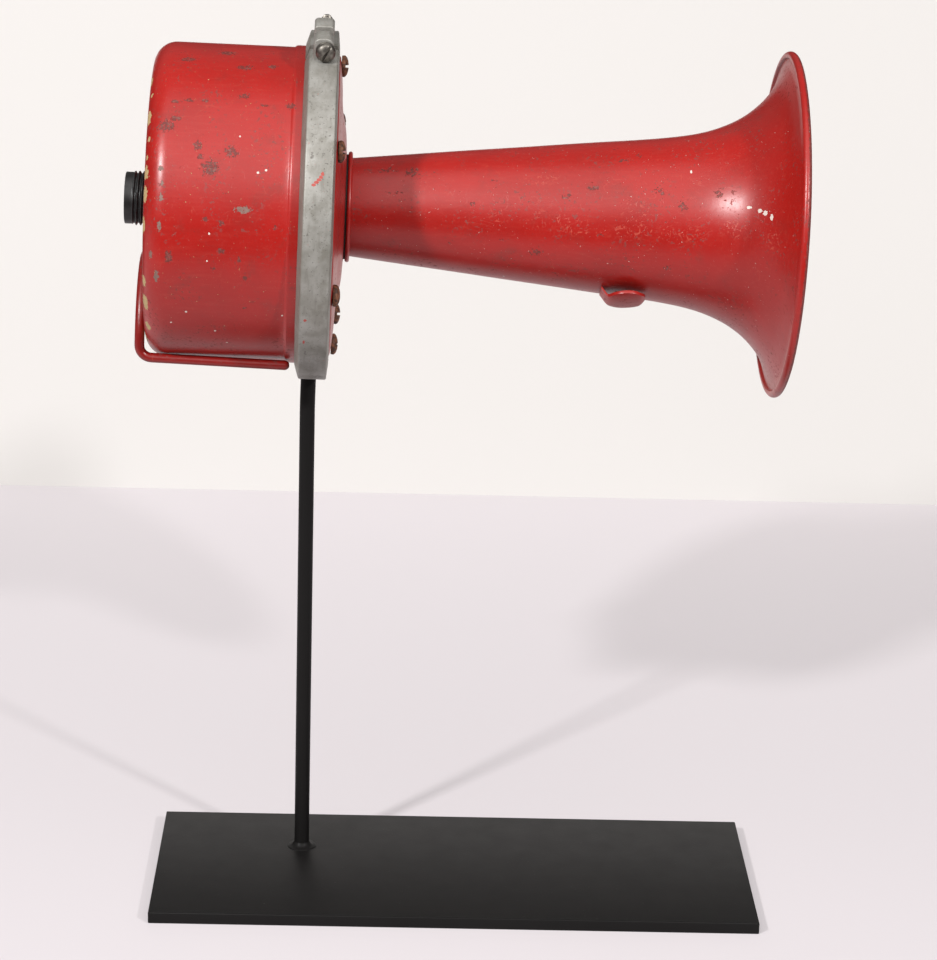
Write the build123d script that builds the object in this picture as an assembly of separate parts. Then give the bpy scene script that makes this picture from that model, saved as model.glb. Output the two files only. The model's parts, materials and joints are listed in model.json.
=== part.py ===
from build123d import *

import math
import os

# Electric alarm horn on a display stand.
# Millimetres. Row frame: origin at the centre of the base plate's underside, +Z up, +X towards the horn's mouth.
# The horn is built in its own frame, with +X along its axis towards the mouth and its origin at the clamp band,
# and placed on the stand at the end. Clock angles run from the top of the horn towards -Y.

# Stand
PLATE_LENGTH = 254.0
PLATE_WIDTH = 105.5
PLATE_THICKNESS = 5.0
PLATE_EDGE = 0.5
ROD_RADIUS = 3.175
ROD_BEND_RADIUS = 300.0
ROD_BEND_DROP = 14.0
WELD_RADIUS = 7.0
WELD_HEIGHT = 2.6
WELD_EDGE = 0.25
WELD_THROAT = (1.3, 0.9)

# Horn placing
HORN_CENTRE = (-60.66, 18.36, 289.31)
HORN_TILT = 1.316
HORN_YAW = 0.936
ROD_SEAT_X = -3.1
ROD_SEAT_DEPTH = 1.8

# Clamp band
BAND_RADIUS = 71.06
BAND_REAR = -7.2
BAND_FRONT = 4.1
BAND_REAR_FOOT = -9.0
BAND_FRONT_FOOT = 4.7
BAND_FOOT_RADIUS = 65.3
BAND_EDGE = 0.9
BAND_REAR_INNER = 64.9
BAND_FRONT_INNER = 61.9
BAND_FRONT_LEAN = 0.2
GROOVE_RADIUS = 68.2
GROOVE_GAP = 0.1
GROOVE_REAR = -2.85
GROOVE_REAR_FOOT = -5.3
GROOVE_FRONT_RUN = 2.0
BAND_GAP = 3.5
BAND_GAP_CLOCK = 15.9
EAR_WIDTH = 8.0
EAR_THICKNESS = 8.3
EAR_TOP = 79.4
EAR_X = -1.7
HEAD_EAR_CORNER = 3.0
FAR_EAR_CORNER = 1.6
EAR_EDGE = 0.6

# Clamp screw, a number 10-32
CLAMP_SCREW_RADIUS = 2.4
CLAMP_SCREW_X = -0.9
CLAMP_SCREW_HEIGHT = 74.4
CLAMP_SCREW_LENGTH = 31.2
CLAMP_HEAD_RADIUS = 3.95
CLAMP_HEAD_HEIGHT = 3.2
CLAMP_WASHER_RADIUS = 3.95
CLAMP_WASHER_THICKNESS = 0.9
CLAMP_BORE_GAP = 0.06
CLAMP_WASHER_GAP = 0.2
CLAMP_SLOT_TURN = 62.0

# Drum housing
DRUM_RADIUS = 63.9
DRUM_REAR = -69.7
DRUM_CORNER = 8.9
DRUM_WALL = 1.2
DRUM_LIP_RADIUS = 64.6
DRUM_LIP_START = -13.6
DRUM_LIP_RUN = 1.0
FLANGE_RADIUS = 67.6
DRUM_FLANGE_FRONT = -1.5
GASKET_FRONT = -0.3

# Conduit nipple
NIPPLE_RADIUS = 11.1
NIPPLE_PITCH = 1.814
NIPPLE_THREAD_DEPTH = 1.0
NIPPLE_REAR = -80.3
NIPPLE_FRONT = -56.0
NIPPLE_LEAD = 3.0
NIPPLE_LEAD_DEPTH = 0.55
NIPPLE_CHAMFER = 0.6
NIPPLE_BORE = 7.9
NIPPLE_HOLE = 11.2
BOSS_RADIUS = 19.0
BOSS_THICKNESS = 4.0
LOCKNUT_WIDTH = 30.0
LOCKNUT_THICKNESS = 4.5

# Wire bail
BAIL_RADIUS = 2.0
BAIL_REACH = 65.85
BAIL_TIP_REACH = 66.9
BAIL_CLOCK = 26.0
BAIL_TIP = -12.8
BAIL_REAR = -71.65
BAIL_BEND = 5.0
BAIL_EYE_Z = -53.0

# Front plate
PLATE_WALL = 1.4
PLATE_FLANGE_FRONT = 1.1
PLATE_SHOULDER = 61.4
PLATE_STEP_X = 4.2
PLATE_CORNER = (5.0, 61.0)
PLATE_FACE_OUTER = (5.35, 60.0)
PLATE_FACE_MIDDLE = (6.4, 50.0)
PLATE_FACE_INNER = (7.0, 39.0)
PLATE_DOME_MIDDLE = (8.55, 31.0)
PLATE_DOME_RADIUS = 22.0
PLATE_HOLE = 10.0
PLATE_CENTRE_X = 9.2
SCREW_CIRCLE = 57.2
SCREW_CLOCK = -4.4
SCREW_COUNT = 6
SCREW_RADIUS = 2.08
SCREW_SEAT_X = 5.65
SCREW_LENGTH = 10.4
SCREW_HEAD_RADIUS = 4.4
SCREW_HEAD_HEIGHT = 2.9
SCREW_HOLE = 2.15
SCREW_FLAT_GAP = 0.3
SLOT_AIM = 77.6
SLOT_TURNS = (0.0, 6.0, 52.0, 9.0, 35.0, 20.0)
TONE_SCREW_CLOCK = 205.6
TONE_SCREW_SEAT_X = 6.3
TONE_SCREW_LENGTH = 18.3

# Diaphragm stack
STACK_RADIUS = 59.8
STACK_INNER = 50.0
DIAPHRAGM_FRONT = 2.5
DIAPHRAGM_THICKNESS = 0.4
STACK_GASKET = 1.1
CLAMP_RING_THICKNESS = 3.5

# Trumpet
TRUMPET_WALL = 1.0
COLLAR_REAR = 9.9
COLLAR_FRONT = 11.7
COLLAR_RADIUS = 22.6
COLLAR_SPIGOT = 17.4
COLLAR_SCREW_RADIUS = 1.5
COLLAR_SCREW_HOLE = 1.7
COLLAR_SCREW_LENGTH = 3.4
COLLAR_SCREW_CIRCLE = 17.0
COLLAR_SCREW_COUNT = 4
COLLAR_SCREW_HEAD = (2.8, 1.6)
COLLAR_SPIGOT_LENGTH = 6.0
GASKET_SETBACK = 1.2
TRUMPET_FOOT_RADIUS = 20.1
CONE_END_X = 112.0
CONE_END_RADIUS = 30.8
FLARE = [(140.0, 33.8), (155.0, 36.6), (167.0, 41.3), (176.0, 47.4), (183.0, 55.2), (187.0, 63.6), (188.2, 68.2)]
BEAD_X = 188.75
BEAD_CENTRE_RADIUS = 69.3
BEAD_RADIUS = 1.75
RIM_WIRE_RADIUS = 0.9
RIM_SLOPE = (0.12, 1.0)

# Strap tab under the trumpet
TAB_START = 114.6
TAB_END = 132.6
TAB_CLOCK = 142.0
TAB_NECK_WIDTH = 9.0
TAB_NECK_SHIFT = 3.5
TAB_WIDTH = 15.0
TAB_THICKNESS = 1.2
TAB_RADIUS = 36.8
TAB_FOOT_RADIUS = 31.1
TAB_KINK = 4.2
TAB_TIP_START = 2.5
TAB_LIFT = 0.3
TAB_TIP_DROP = 1.0

# Mechanism
BRIDGE_Y = 44.0
BRIDGE_WIDTH = 30.0
BRIDGE_WALL = 3.0
BRIDGE_REAR = -44.0
BRIDGE_FOOT = 14.0
BRIDGE_SCREW_RADIUS = 1.6
BRIDGE_SCREW_HEAD = (3.0, 2.0)
BRIDGE_FOOT_INSET = 4.0
BRIDGE_SCREW_Y = 53.6
BRIDGE_SCREW_Z = 8.0
CORE_FACE = -17.0
CORE_SIZE_Y = 48.0
CORE_SIZE_Z = 16.0
CORE_LEG = 7.0
CORE_YOKE = 8.0
CORE_SCREW_Y = 20.5
CORE_SCREW_RADIUS = 2.0
CORE_SCREW_BITE = 5.5
CORE_SCREW_HEAD = (3.6, 2.2)
COIL_REACH = 8.5
BOBBIN_WALL = 1.0
BOBBIN_LENGTH = 13.0
BOBBIN_SETBACK = 2.8
BOBBIN_GAP = 0.1
WINDING_INSET = 1.2
ARMATURE_GAP = 1.7
ARMATURE_THICKNESS = 5.0
ARMATURE_CORNER = 1.5
STUD_RADIUS = 2.4
STUD_SHOULDER = 5.0
STUD_REACH = 6.0
WASHER_THICKNESS = 1.2
WASHER_RADIUS = 11.0
NUT_WIDTH = 8.0
NUT_THICKNESS = 2.8
LEAF_FRONT = -17.9
LEAF_THICKNESS = 0.5
LEAF_WIDTH = 8.0
LEAF_TIP = 11.5
LEAF_ROOT = 45.0
CONTACT_HEIGHT = 34.0
CONTACT_RADIUS = 2.5
CONTACT_THICKNESS = 1.0
CONTACT_CHAMFER = 0.3
CONTACT_GAP = 0.05
STRIKER_GAP = 0.15
STRIKER_WIDTH = 6.0
STRIKER_REACH = 4.0
STRIKER_CLEARANCE = 0.6
CARRIAGE_FRONT = -12.05
CARRIAGE_THICKNESS = 3.0
CARRIAGE_WIDTH = 14.0
CARRIAGE_LENGTH = 29.0
CARRIAGE_HEIGHT = 45.5
BRACKET_DEPTH = 2.6
BRACKET_LOW = 45.3
BRACKET_HIGH = 57.0
BRACKET_WIDTH = 22.0
BRACKET_LEG = (3.0, 8.0)
BRACKET_LEG_HEIGHT = 53.0
BRACKET_LEG_Y = 9.5
LEAD_ROOT_HEIGHT = 50.0
CAN_RADIUS = 9.0
CAN_LENGTH = 36.0
CAN_EDGE = 1.2
CAN_HEIGHT = 30.0
CAN_GAP = 0.6
CLIP_WALL = 1.1
CLIP_WIDTH = 9.0
CLIP_FOOT = 1.2
CLIP_FOOT_HEIGHT = 16.0
CLIP_FOOT_LENGTH = 20.0
TERMINAL_Y = (-12.5, 0.0, 12.5)
TERMINAL_Z = -22.0
TERMINAL_SIZE = (10.0, 40.0, 18.0)
TERMINAL_RECESS = (4.0, 9.0, 12.0)
TERMINAL_SCREW_RADIUS = 1.6
TERMINAL_SCREW_LENGTH = 4.4
TERMINAL_SCREW_HEAD = (3.2, 2.0)
LEAD_RADIUS = 1.1
LEAD_BEND = 3.2
LEAD_DROP = 8.0
LEAD_START_Y = -5.0
LEAD_BACK = 10.0
LEAD_RISE = 2.0

# Proportions of a slotted head, in head heights and head radii, and of a thread, in pitches
HEAD_SIDE = 0.35
HEAD_ARC = (0.62, 0.86)
SLOT_WIDTH = 0.27
SLOT_DEPTH = 0.45
SHANK_TAPER = 0.25
CREST = (0.12, 0.38)
ROOT = (0.72, 0.88)

SCREW_GAP = 0.1
TOUCH = 0.02

HORN_PLACE = Pos(*HORN_CENTRE) * Rot(Z=HORN_YAW) * Rot(Y=HORN_TILT)


def revolved(*edges):
    """A solid of revolution about the horn's axis, from edges drawn as (x, radius)."""
    face = make_face(Plane.XZ * Wire(list(edges)))
    return revolve(face, Axis.X)


def ring(x_from, x_to, inner, outer):
    """A plain ring or disc about the horn's axis."""
    corners = [(x_from, inner), (x_to, inner), (x_to, outer), (x_from, outer)]
    return revolved(*Polyline(*corners, close=True).edges())


def clock(angle):
    """Turns a shape built at the top of the horn to a clock angle."""
    return Rot(X=angle)


def along_x(shape, x, height=0.0):
    """Lays a shape built along +Z along the horn's axis, at x and at a height above it."""
    return Pos(x, 0, height) * Rot(Y=90) * shape


def holes_on_circle(radius, length, x, clocks):
    """Cylinders along the axis at the screw circle, to cut holes with."""
    hole = along_x(Cylinder(radius, length), x, SCREW_CIRCLE)
    return [clock(angle) * hole for angle in clocks]


def screw_clocks():
    return [SCREW_CLOCK + number * 360.0 / SCREW_COUNT for number in range(SCREW_COUNT)]


def slotted_screw(radius, length, head_radius, head_height, slot_turn=0.0):
    """A round-headed slotted screw along Z: the head's underside at 0, the head above it."""
    side = head_height * HEAD_SIDE
    crown = (head_radius * HEAD_ARC[0], head_height * HEAD_ARC[1])
    outline = [
        *Polyline((0, head_height), (0, 0), (head_radius, 0), (head_radius, side)).edges(),
        ThreePointArc((head_radius, side), crown, (0, head_height)),
    ]
    head = revolve(make_face(Plane.XZ * Wire(outline)), Axis.Z)
    slot = Pos(0, 0, head_height) * Box(3 * head_radius, head_radius * SLOT_WIDTH, 2 * head_height * SLOT_DEPTH)
    tip = Cylinder(radius, length).edges().group_by(Axis.Z)[0]
    shank = Pos(0, 0, -length / 2) * chamfer(tip, radius * SHANK_TAPER)
    return head - Rot(Z=slot_turn) * slot + shank


def hex_nut(width, thickness, bore):
    """A hexagon nut along Z, standing on 0."""
    body = extrude(RegularPolygon(width / 2, 6, major_radius=False), thickness)
    return body - Cylinder(bore, 3 * thickness)


def thread_outline(x_from, x_to, crest, root, pitch):
    """A saw-tooth line of thread crests and roots, as (x, radius) points."""
    points = []
    for turn in range(int((x_to - x_from) / pitch)):
        start = x_from + turn * pitch
        points += [(start + pitch * share, crest) for share in CREST]
        points += [(start + pitch * share, root) for share in ROOT]
    return points


# Stand


def base_plate():
    plate = Pos(0, 0, PLATE_THICKNESS / 2) * Box(PLATE_LENGTH, PLATE_WIDTH, PLATE_THICKNESS)
    return chamfer(plate.edges(), PLATE_EDGE)


def rod_points():
    """The rod's foot, the corner of its bend and its tip, which all lie in the horn's upright plane."""
    tip = HORN_PLACE * Pos(ROD_SEAT_X, 0, -BAND_RADIUS + ROD_SEAT_DEPTH)
    corner = HORN_PLACE * Pos(ROD_SEAT_X, 0, -BAND_RADIUS - ROD_BEND_DROP)
    foot = Vector(corner.position.X, corner.position.Y, PLATE_THICKNESS)
    return foot, corner.position, tip.position


def stand_rod():
    foot, corner, tip = rod_points()
    path = FilletPolyline(foot, corner, tip, radius=ROD_BEND_RADIUS)
    return sweep(Pos(*foot) * Circle(ROD_RADIUS), path=path)


def rod_weld():
    """The run-out mound of weld that fills the corner between the rod and the plate."""
    foot = rod_points()[0]
    edge = (WELD_RADIUS, WELD_EDGE)
    crown = (ROD_RADIUS, WELD_HEIGHT)
    outline = [
        *Polyline(crown, (ROD_RADIUS, 0), (WELD_RADIUS, 0), edge).edges(),
        ThreePointArc(edge, (ROD_RADIUS + WELD_THROAT[0], WELD_THROAT[1]), crown),
    ]
    return Pos(*foot) * revolve(make_face(Plane.XZ * Wire(outline)), Axis.Z)


# Clamp band


def band_outline():
    """The band's section: a bevelled channel whose inner groove grips the two flanges."""
    groove_front = PLATE_FLANGE_FRONT + GROOVE_GAP
    return [
        (BAND_REAR_FOOT, BAND_REAR_INNER),
        (BAND_REAR_FOOT, BAND_FOOT_RADIUS),
        (BAND_REAR, BAND_RADIUS),
        (BAND_FRONT, BAND_RADIUS),
        (BAND_FRONT_FOOT, BAND_FOOT_RADIUS),
        (BAND_FRONT_FOOT + BAND_FRONT_LEAN, BAND_FRONT_INNER),
        (groove_front + GROOVE_FRONT_RUN, BAND_FRONT_INNER),
        (groove_front, GROOVE_RADIUS),
        (GROOVE_REAR, GROOVE_RADIUS),
        (GROOVE_REAR_FOOT, BAND_REAR_INNER),
    ]


def clamp_ear(side, corner):
    """One ear of the band: side is 1 towards +Y and -1 towards -Y, before the ears are turned to their clock."""
    low = GROOVE_RADIUS
    height = EAR_TOP - low
    centre = side * (BAND_GAP + EAR_THICKNESS) / 2
    block = Pos(EAR_X, centre, low + height / 2) * Box(EAR_WIDTH, EAR_THICKNESS, height)
    corners = block.edges().filter_by(Axis.Y).group_by(Axis.Z)[-1]
    block = fillet(corners, corner)
    return fillet(block.edges().group_by(Axis.Z)[-1].filter_by(Axis.X), EAR_EDGE)


def clamp_band():
    section = make_face(Plane.XZ * Wire(Polyline(*band_outline(), close=True).edges()))
    body = revolve(section, Axis.X)
    rims = body.edges().filter_by(GeomType.CIRCLE)
    shoulders = [rim for rim in rims if abs(rim.radius - BAND_RADIUS) < TOUCH]
    body = fillet(shoulders, BAND_EDGE)
    gap = Pos(0, 0, BAND_RADIUS) * Box(BAND_RADIUS, BAND_GAP, BAND_RADIUS)
    bore = Cylinder(CLAMP_SCREW_RADIUS + CLAMP_BORE_GAP, 2 * CLAMP_SCREW_LENGTH)
    bore = Pos(CLAMP_SCREW_X, 0, CLAMP_SCREW_HEIGHT) * Rot(X=90) * bore
    at_gap = clock(BAND_GAP_CLOCK)
    body += [at_gap * clamp_ear(-1, HEAD_EAR_CORNER), at_gap * clamp_ear(1, FAR_EAR_CORNER)]
    body -= at_gap * gap
    body -= at_gap * bore
    seat = Cylinder(ROD_RADIUS, 2 * ROD_SEAT_DEPTH)
    return body - Pos(ROD_SEAT_X, 0, -BAND_RADIUS) * seat


def clamp_screw_place():
    """The clamp screw's head seat, with +Z out of the head towards -Y."""
    seat = BAND_GAP / 2 + EAR_THICKNESS + CLAMP_WASHER_THICKNESS
    return clock(BAND_GAP_CLOCK) * Pos(CLAMP_SCREW_X, -seat, CLAMP_SCREW_HEIGHT) * Rot(X=90)


def clamp_screw():
    head = (CLAMP_HEAD_RADIUS, CLAMP_HEAD_HEIGHT)
    return clamp_screw_place() * slotted_screw(CLAMP_SCREW_RADIUS, CLAMP_SCREW_LENGTH, *head, CLAMP_SLOT_TURN)


def clamp_washer():
    hole = Cylinder(CLAMP_SCREW_RADIUS + CLAMP_WASHER_GAP, 2 * CLAMP_WASHER_THICKNESS)
    washer = Cylinder(CLAMP_WASHER_RADIUS, CLAMP_WASHER_THICKNESS) - hole
    return clamp_screw_place() * Pos(0, 0, -CLAMP_WASHER_THICKNESS / 2) * washer


# Drum housing


def drum_housing():
    """A drawn steel cup with a slightly larger lip and a flange that the clamp band grips."""
    rear, wall, corner = DRUM_REAR, DRUM_WALL, DRUM_CORNER
    inner = DRUM_RADIUS - wall
    flange_rear = DRUM_FLANGE_FRONT - wall
    outside = FilletPolyline(
        (rear, NIPPLE_HOLE), (rear, DRUM_RADIUS), (DRUM_LIP_START, DRUM_RADIUS), radius=corner
    )
    lip = Polyline(
        (DRUM_LIP_START, DRUM_RADIUS),
        (DRUM_LIP_START + DRUM_LIP_RUN, DRUM_LIP_RADIUS),
        (flange_rear, DRUM_LIP_RADIUS),
        (flange_rear, FLANGE_RADIUS),
        (DRUM_FLANGE_FRONT, FLANGE_RADIUS),
        (DRUM_FLANGE_FRONT, inner),
    )
    inside = FilletPolyline(
        (DRUM_FLANGE_FRONT, inner), (rear + wall, inner), (rear + wall, NIPPLE_HOLE), radius=corner - wall
    )
    hole = Line((rear + wall, NIPPLE_HOLE), (rear, NIPPLE_HOLE))
    return revolved(*outside.edges(), *lip.edges(), *inside.edges(), hole)


def conduit_nipple():
    """A short threaded pipe: a plain lead at its open end, then thread crests all the way in."""
    lead = NIPPLE_RADIUS - NIPPLE_THREAD_DEPTH * NIPPLE_LEAD_DEPTH
    root = NIPPLE_RADIUS - NIPPLE_THREAD_DEPTH
    thread_start = NIPPLE_REAR + NIPPLE_LEAD
    points = [(NIPPLE_REAR, NIPPLE_BORE), (NIPPLE_REAR, lead - NIPPLE_CHAMFER)]
    points += [(NIPPLE_REAR + NIPPLE_CHAMFER, lead), (thread_start, lead)]
    points += thread_outline(thread_start, NIPPLE_FRONT, NIPPLE_RADIUS, root, NIPPLE_PITCH)
    points += [(NIPPLE_FRONT, root), (NIPPLE_FRONT, NIPPLE_BORE)]
    return revolved(*Polyline(*points, close=True).edges())


def nipple_boss():
    start = DRUM_REAR + DRUM_WALL
    return ring(start, start + BOSS_THICKNESS, NIPPLE_HOLE, BOSS_RADIUS)


def nipple_locknut():
    start = DRUM_REAR + DRUM_WALL + BOSS_THICKNESS
    return along_x(hex_nut(LOCKNUT_WIDTH, LOCKNUT_THICKNESS, NIPPLE_HOLE), start)


def bail_arm(side):
    """The corner and the tip of one arm of the bail, which runs clear of the drum's lip at its tip."""
    sine, cosine = math.sin(math.radians(BAIL_CLOCK)), math.cos(math.radians(BAIL_CLOCK))
    corner = (BAIL_REAR, side * BAIL_REACH * sine, -BAIL_REACH * cosine)
    tip = (BAIL_TIP, side * BAIL_TIP_REACH * sine, -BAIL_TIP_REACH * cosine)
    return corner, tip


def wire_bail():
    """A U of round wire: two arms under the drum and a round eye brazed to its rear face."""
    near_corner, near_tip = bail_arm(-1)
    far_corner, far_tip = bail_arm(1)
    half_width = far_corner[1]
    near_top = (BAIL_REAR, -half_width, BAIL_EYE_Z)
    far_top = (BAIL_REAR, half_width, BAIL_EYE_Z)
    near = FilletPolyline(near_tip, near_corner, near_top, radius=BAIL_BEND)
    eye = ThreePointArc(near_top, (BAIL_REAR, 0, BAIL_EYE_Z + half_width), far_top)
    far = FilletPolyline(far_top, far_corner, far_tip, radius=BAIL_BEND)
    path = Wire([*near.edges(), eye, *far.edges()])
    section = Plane(origin=near_tip, z_dir=near % 0) * Circle(BAIL_RADIUS)
    wire = sweep(section, path=path)
    return wire + [Pos(*tip) * Sphere(BAIL_RADIUS) for tip in (near_tip, far_tip)]


def housing_gasket():
    return ring(DRUM_FLANGE_FRONT, GASKET_FRONT, DRUM_RADIUS - DRUM_WALL, FLANGE_RADIUS - 0.2)


# Front plate and diaphragm


def front_plate():
    """The dished cover: a rim in the clamp band, a nearly flat ring for the screws and a low dome in the middle."""
    flange, shoulder = PLATE_FLANGE_FRONT, PLATE_SHOULDER
    face_points = [PLATE_FACE_OUTER, PLATE_FACE_MIDDLE, PLATE_FACE_INNER]
    dome_points = [PLATE_FACE_INNER, PLATE_DOME_MIDDLE, (PLATE_CENTRE_X, PLATE_DOME_RADIUS)]
    step = (PLATE_STEP_X, shoulder)
    inner_shoulder = shoulder - PLATE_WALL
    inner_face, inner_dome = behind(face_points), behind(dome_points)
    edges = [
        *Polyline((flange - PLATE_WALL, FLANGE_RADIUS), (flange, FLANGE_RADIUS), (flange, shoulder), step).edges(),
        ThreePointArc(step, PLATE_CORNER, PLATE_FACE_OUTER),
        ThreePointArc(*face_points),
        ThreePointArc(*dome_points),
        *Polyline(dome_points[-1], (PLATE_CENTRE_X, PLATE_HOLE), *behind([(PLATE_CENTRE_X, PLATE_HOLE)])).edges(),
        Line(*behind([(PLATE_CENTRE_X, PLATE_HOLE)]), inner_dome[-1]),
        ThreePointArc(*reversed(inner_dome)),
        ThreePointArc(*reversed(inner_face)),
        *Polyline(
            inner_face[0], (flange - PLATE_WALL, inner_shoulder), (flange - PLATE_WALL, FLANGE_RADIUS)
        ).edges(),
    ]
    holes = holes_on_circle(SCREW_HOLE, 12, 4, [*screw_clocks(), TONE_SCREW_CLOCK])
    return revolved(*edges) - holes - screw_flats() - collar_screw_holes(COLLAR_SCREW_HOLE)


def behind(points):
    """The same (x, radius) points, one plate thickness further back."""
    return [(x - PLATE_WALL, radius) for x, radius in points]


def screw_flats():
    """The pressed flats that the screw heads sit on."""
    flat = Cylinder(SCREW_HEAD_RADIUS + SCREW_FLAT_GAP, SCREW_HEAD_HEIGHT)
    seats = [(angle, SCREW_SEAT_X) for angle in screw_clocks()] + [(TONE_SCREW_CLOCK, TONE_SCREW_SEAT_X)]
    return [clock(angle) * along_x(flat, seat + SCREW_HEAD_HEIGHT / 2, SCREW_CIRCLE) for angle, seat in seats]


def plate_screws():
    """Six screws on one circle, each with its slot at its own angle."""
    screws = []
    for angle, turn in zip(screw_clocks(), SLOT_TURNS):
        slot_turn = SLOT_AIM - angle + turn
        screw = slotted_screw(SCREW_RADIUS, SCREW_LENGTH, SCREW_HEAD_RADIUS, SCREW_HEAD_HEIGHT, slot_turn)
        screws.append(clock(angle) * along_x(screw, SCREW_SEAT_X, SCREW_CIRCLE))
    return Compound(children=screws)


def tone_screw():
    slot_turn = SLOT_AIM - TONE_SCREW_CLOCK
    screw = slotted_screw(SCREW_RADIUS, TONE_SCREW_LENGTH, SCREW_HEAD_RADIUS, SCREW_HEAD_HEIGHT, slot_turn)
    return clock(TONE_SCREW_CLOCK) * along_x(screw, TONE_SCREW_SEAT_X, SCREW_CIRCLE)


def stack_ring(x_from, x_to):
    """One ring of the diaphragm stack, with its screw holes."""
    middle = (x_from + x_to) / 2
    holes = holes_on_circle(SCREW_HOLE, 3 * (x_to - x_from), middle, [*screw_clocks(), TONE_SCREW_CLOCK])
    return ring(x_from, x_to, STACK_INNER, STACK_RADIUS) - holes


def diaphragm():
    """A thin spring-steel disc, held at its rim and carrying the armature at its centre."""
    rear = DIAPHRAGM_FRONT - DIAPHRAGM_THICKNESS
    holes = holes_on_circle(SCREW_HOLE, 4, rear, [*screw_clocks(), TONE_SCREW_CLOCK])
    return ring(rear, DIAPHRAGM_FRONT, STUD_RADIUS + TOUCH, STACK_RADIUS) - holes


def diaphragm_gasket_front():
    return stack_ring(DIAPHRAGM_FRONT, DIAPHRAGM_FRONT + STACK_GASKET)


def diaphragm_gasket_rear():
    rear = DIAPHRAGM_FRONT - DIAPHRAGM_THICKNESS
    return stack_ring(rear - STACK_GASKET, rear)


def clamp_ring_rear():
    return DIAPHRAGM_FRONT - DIAPHRAGM_THICKNESS - STACK_GASKET - CLAMP_RING_THICKNESS


def diaphragm_clamp_ring():
    """The steel ring that the plate screws pull up; the bridge's screws enter it from behind."""
    rear = clamp_ring_rear()
    body = stack_ring(rear, rear + CLAMP_RING_THICKNESS)
    hole = Cylinder(BRIDGE_SCREW_RADIUS, 4 * (BRIDGE_WALL + CLAMP_RING_THICKNESS))
    return body - [place * hole for place in bridge_screw_places()]


# Trumpet


def offset_points(points, distance):
    """The same line of (x, radius) points, moved inwards at right angles to it."""
    moved = []
    for number, (x, radius) in enumerate(points):
        before = points[max(number - 1, 0)]
        after = points[min(number + 1, len(points) - 1)]
        run, rise = after[0] - before[0], after[1] - before[1]
        length = math.hypot(run, rise)
        moved.append((x + distance * rise / length, radius - distance * run / length))
    return moved


def trumpet():
    """A straight cone that turns into a bell, with its rim rolled round a wire."""
    foot = (COLLAR_FRONT, TRUMPET_FOOT_RADIUS)
    cone_end = (CONE_END_X, CONE_END_RADIUS)
    outer = [foot, cone_end, *FLARE]
    inner = offset_points(outer, TRUMPET_WALL)
    inner[0] = (COLLAR_FRONT, TRUMPET_FOOT_RADIUS - TRUMPET_WALL)
    slope = (CONE_END_X - foot[0], CONE_END_RADIUS - foot[1])
    outside = [Line(outer[0], outer[1]), Spline(*outer[1:], tangents=[slope, RIM_SLOPE])]
    inside = [Spline(*inner[1:], tangents=[slope, RIM_SLOPE]), Line(inner[1], inner[0])]
    edges = [*outside, Line(outer[-1], inner[-1]), *inside, Line(inner[0], outer[0])]
    bead = revolve(Plane.XZ * Pos(BEAD_X, BEAD_CENTRE_RADIUS) * Circle(BEAD_RADIUS), Axis.X)
    hollow = revolve(Plane.XZ * Pos(BEAD_X, BEAD_CENTRE_RADIUS) * Circle(RIM_WIRE_RADIUS), Axis.X)
    return revolved(*edges) + bead - hollow


def rim_wire():
    return revolve(Plane.XZ * Pos(BEAD_X, BEAD_CENTRE_RADIUS) * Circle(RIM_WIRE_RADIUS), Axis.X)


def trumpet_collar():
    """The ring that carries the trumpet: a beaded edge, and a spigot inside the trumpet's foot."""
    bead = (COLLAR_FRONT - COLLAR_REAR) / 2
    spigot_end = COLLAR_FRONT + COLLAR_SPIGOT_LENGTH
    spigot_radius = TRUMPET_FOOT_RADIUS - TRUMPET_WALL - TOUCH
    edge = COLLAR_RADIUS - bead
    edges = [
        *Polyline((COLLAR_REAR, edge), (COLLAR_REAR, PLATE_HOLE), (spigot_end, COLLAR_SPIGOT)).edges(),
        *Polyline(
            (spigot_end, COLLAR_SPIGOT), (spigot_end, spigot_radius), (COLLAR_FRONT, spigot_radius)
        ).edges(),
        Line((COLLAR_FRONT, spigot_radius), (COLLAR_FRONT, edge)),
        ThreePointArc((COLLAR_FRONT, edge), (COLLAR_REAR + bead, COLLAR_RADIUS), (COLLAR_REAR, edge)),
    ]
    return revolved(*edges) - collar_screw_holes(COLLAR_SCREW_RADIUS)


def collar_screw_clocks():
    return [45 + number * 360.0 / COLLAR_SCREW_COUNT for number in range(COLLAR_SCREW_COUNT)]


def collar_screw_holes(radius):
    hole = along_x(Cylinder(radius, 2 * COLLAR_SCREW_LENGTH), PLATE_CENTRE_X - PLATE_WALL, COLLAR_SCREW_CIRCLE)
    return [clock(angle) * hole for angle in collar_screw_clocks()]


def throat_gasket():
    gasket = ring(PLATE_CENTRE_X, COLLAR_REAR, PLATE_HOLE, COLLAR_RADIUS - GASKET_SETBACK)
    return gasket - collar_screw_holes(COLLAR_SCREW_HOLE)


def collar_screws():
    """Four screws from inside the front plate into the collar."""
    screw = slotted_screw(COLLAR_SCREW_RADIUS, COLLAR_SCREW_LENGTH, *COLLAR_SCREW_HEAD)
    place = Pos(PLATE_CENTRE_X - PLATE_WALL, 0, COLLAR_SCREW_CIRCLE) * Rot(Y=-90)
    return Compound(children=[clock(angle) * place * screw for angle in collar_screw_clocks()])


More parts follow.
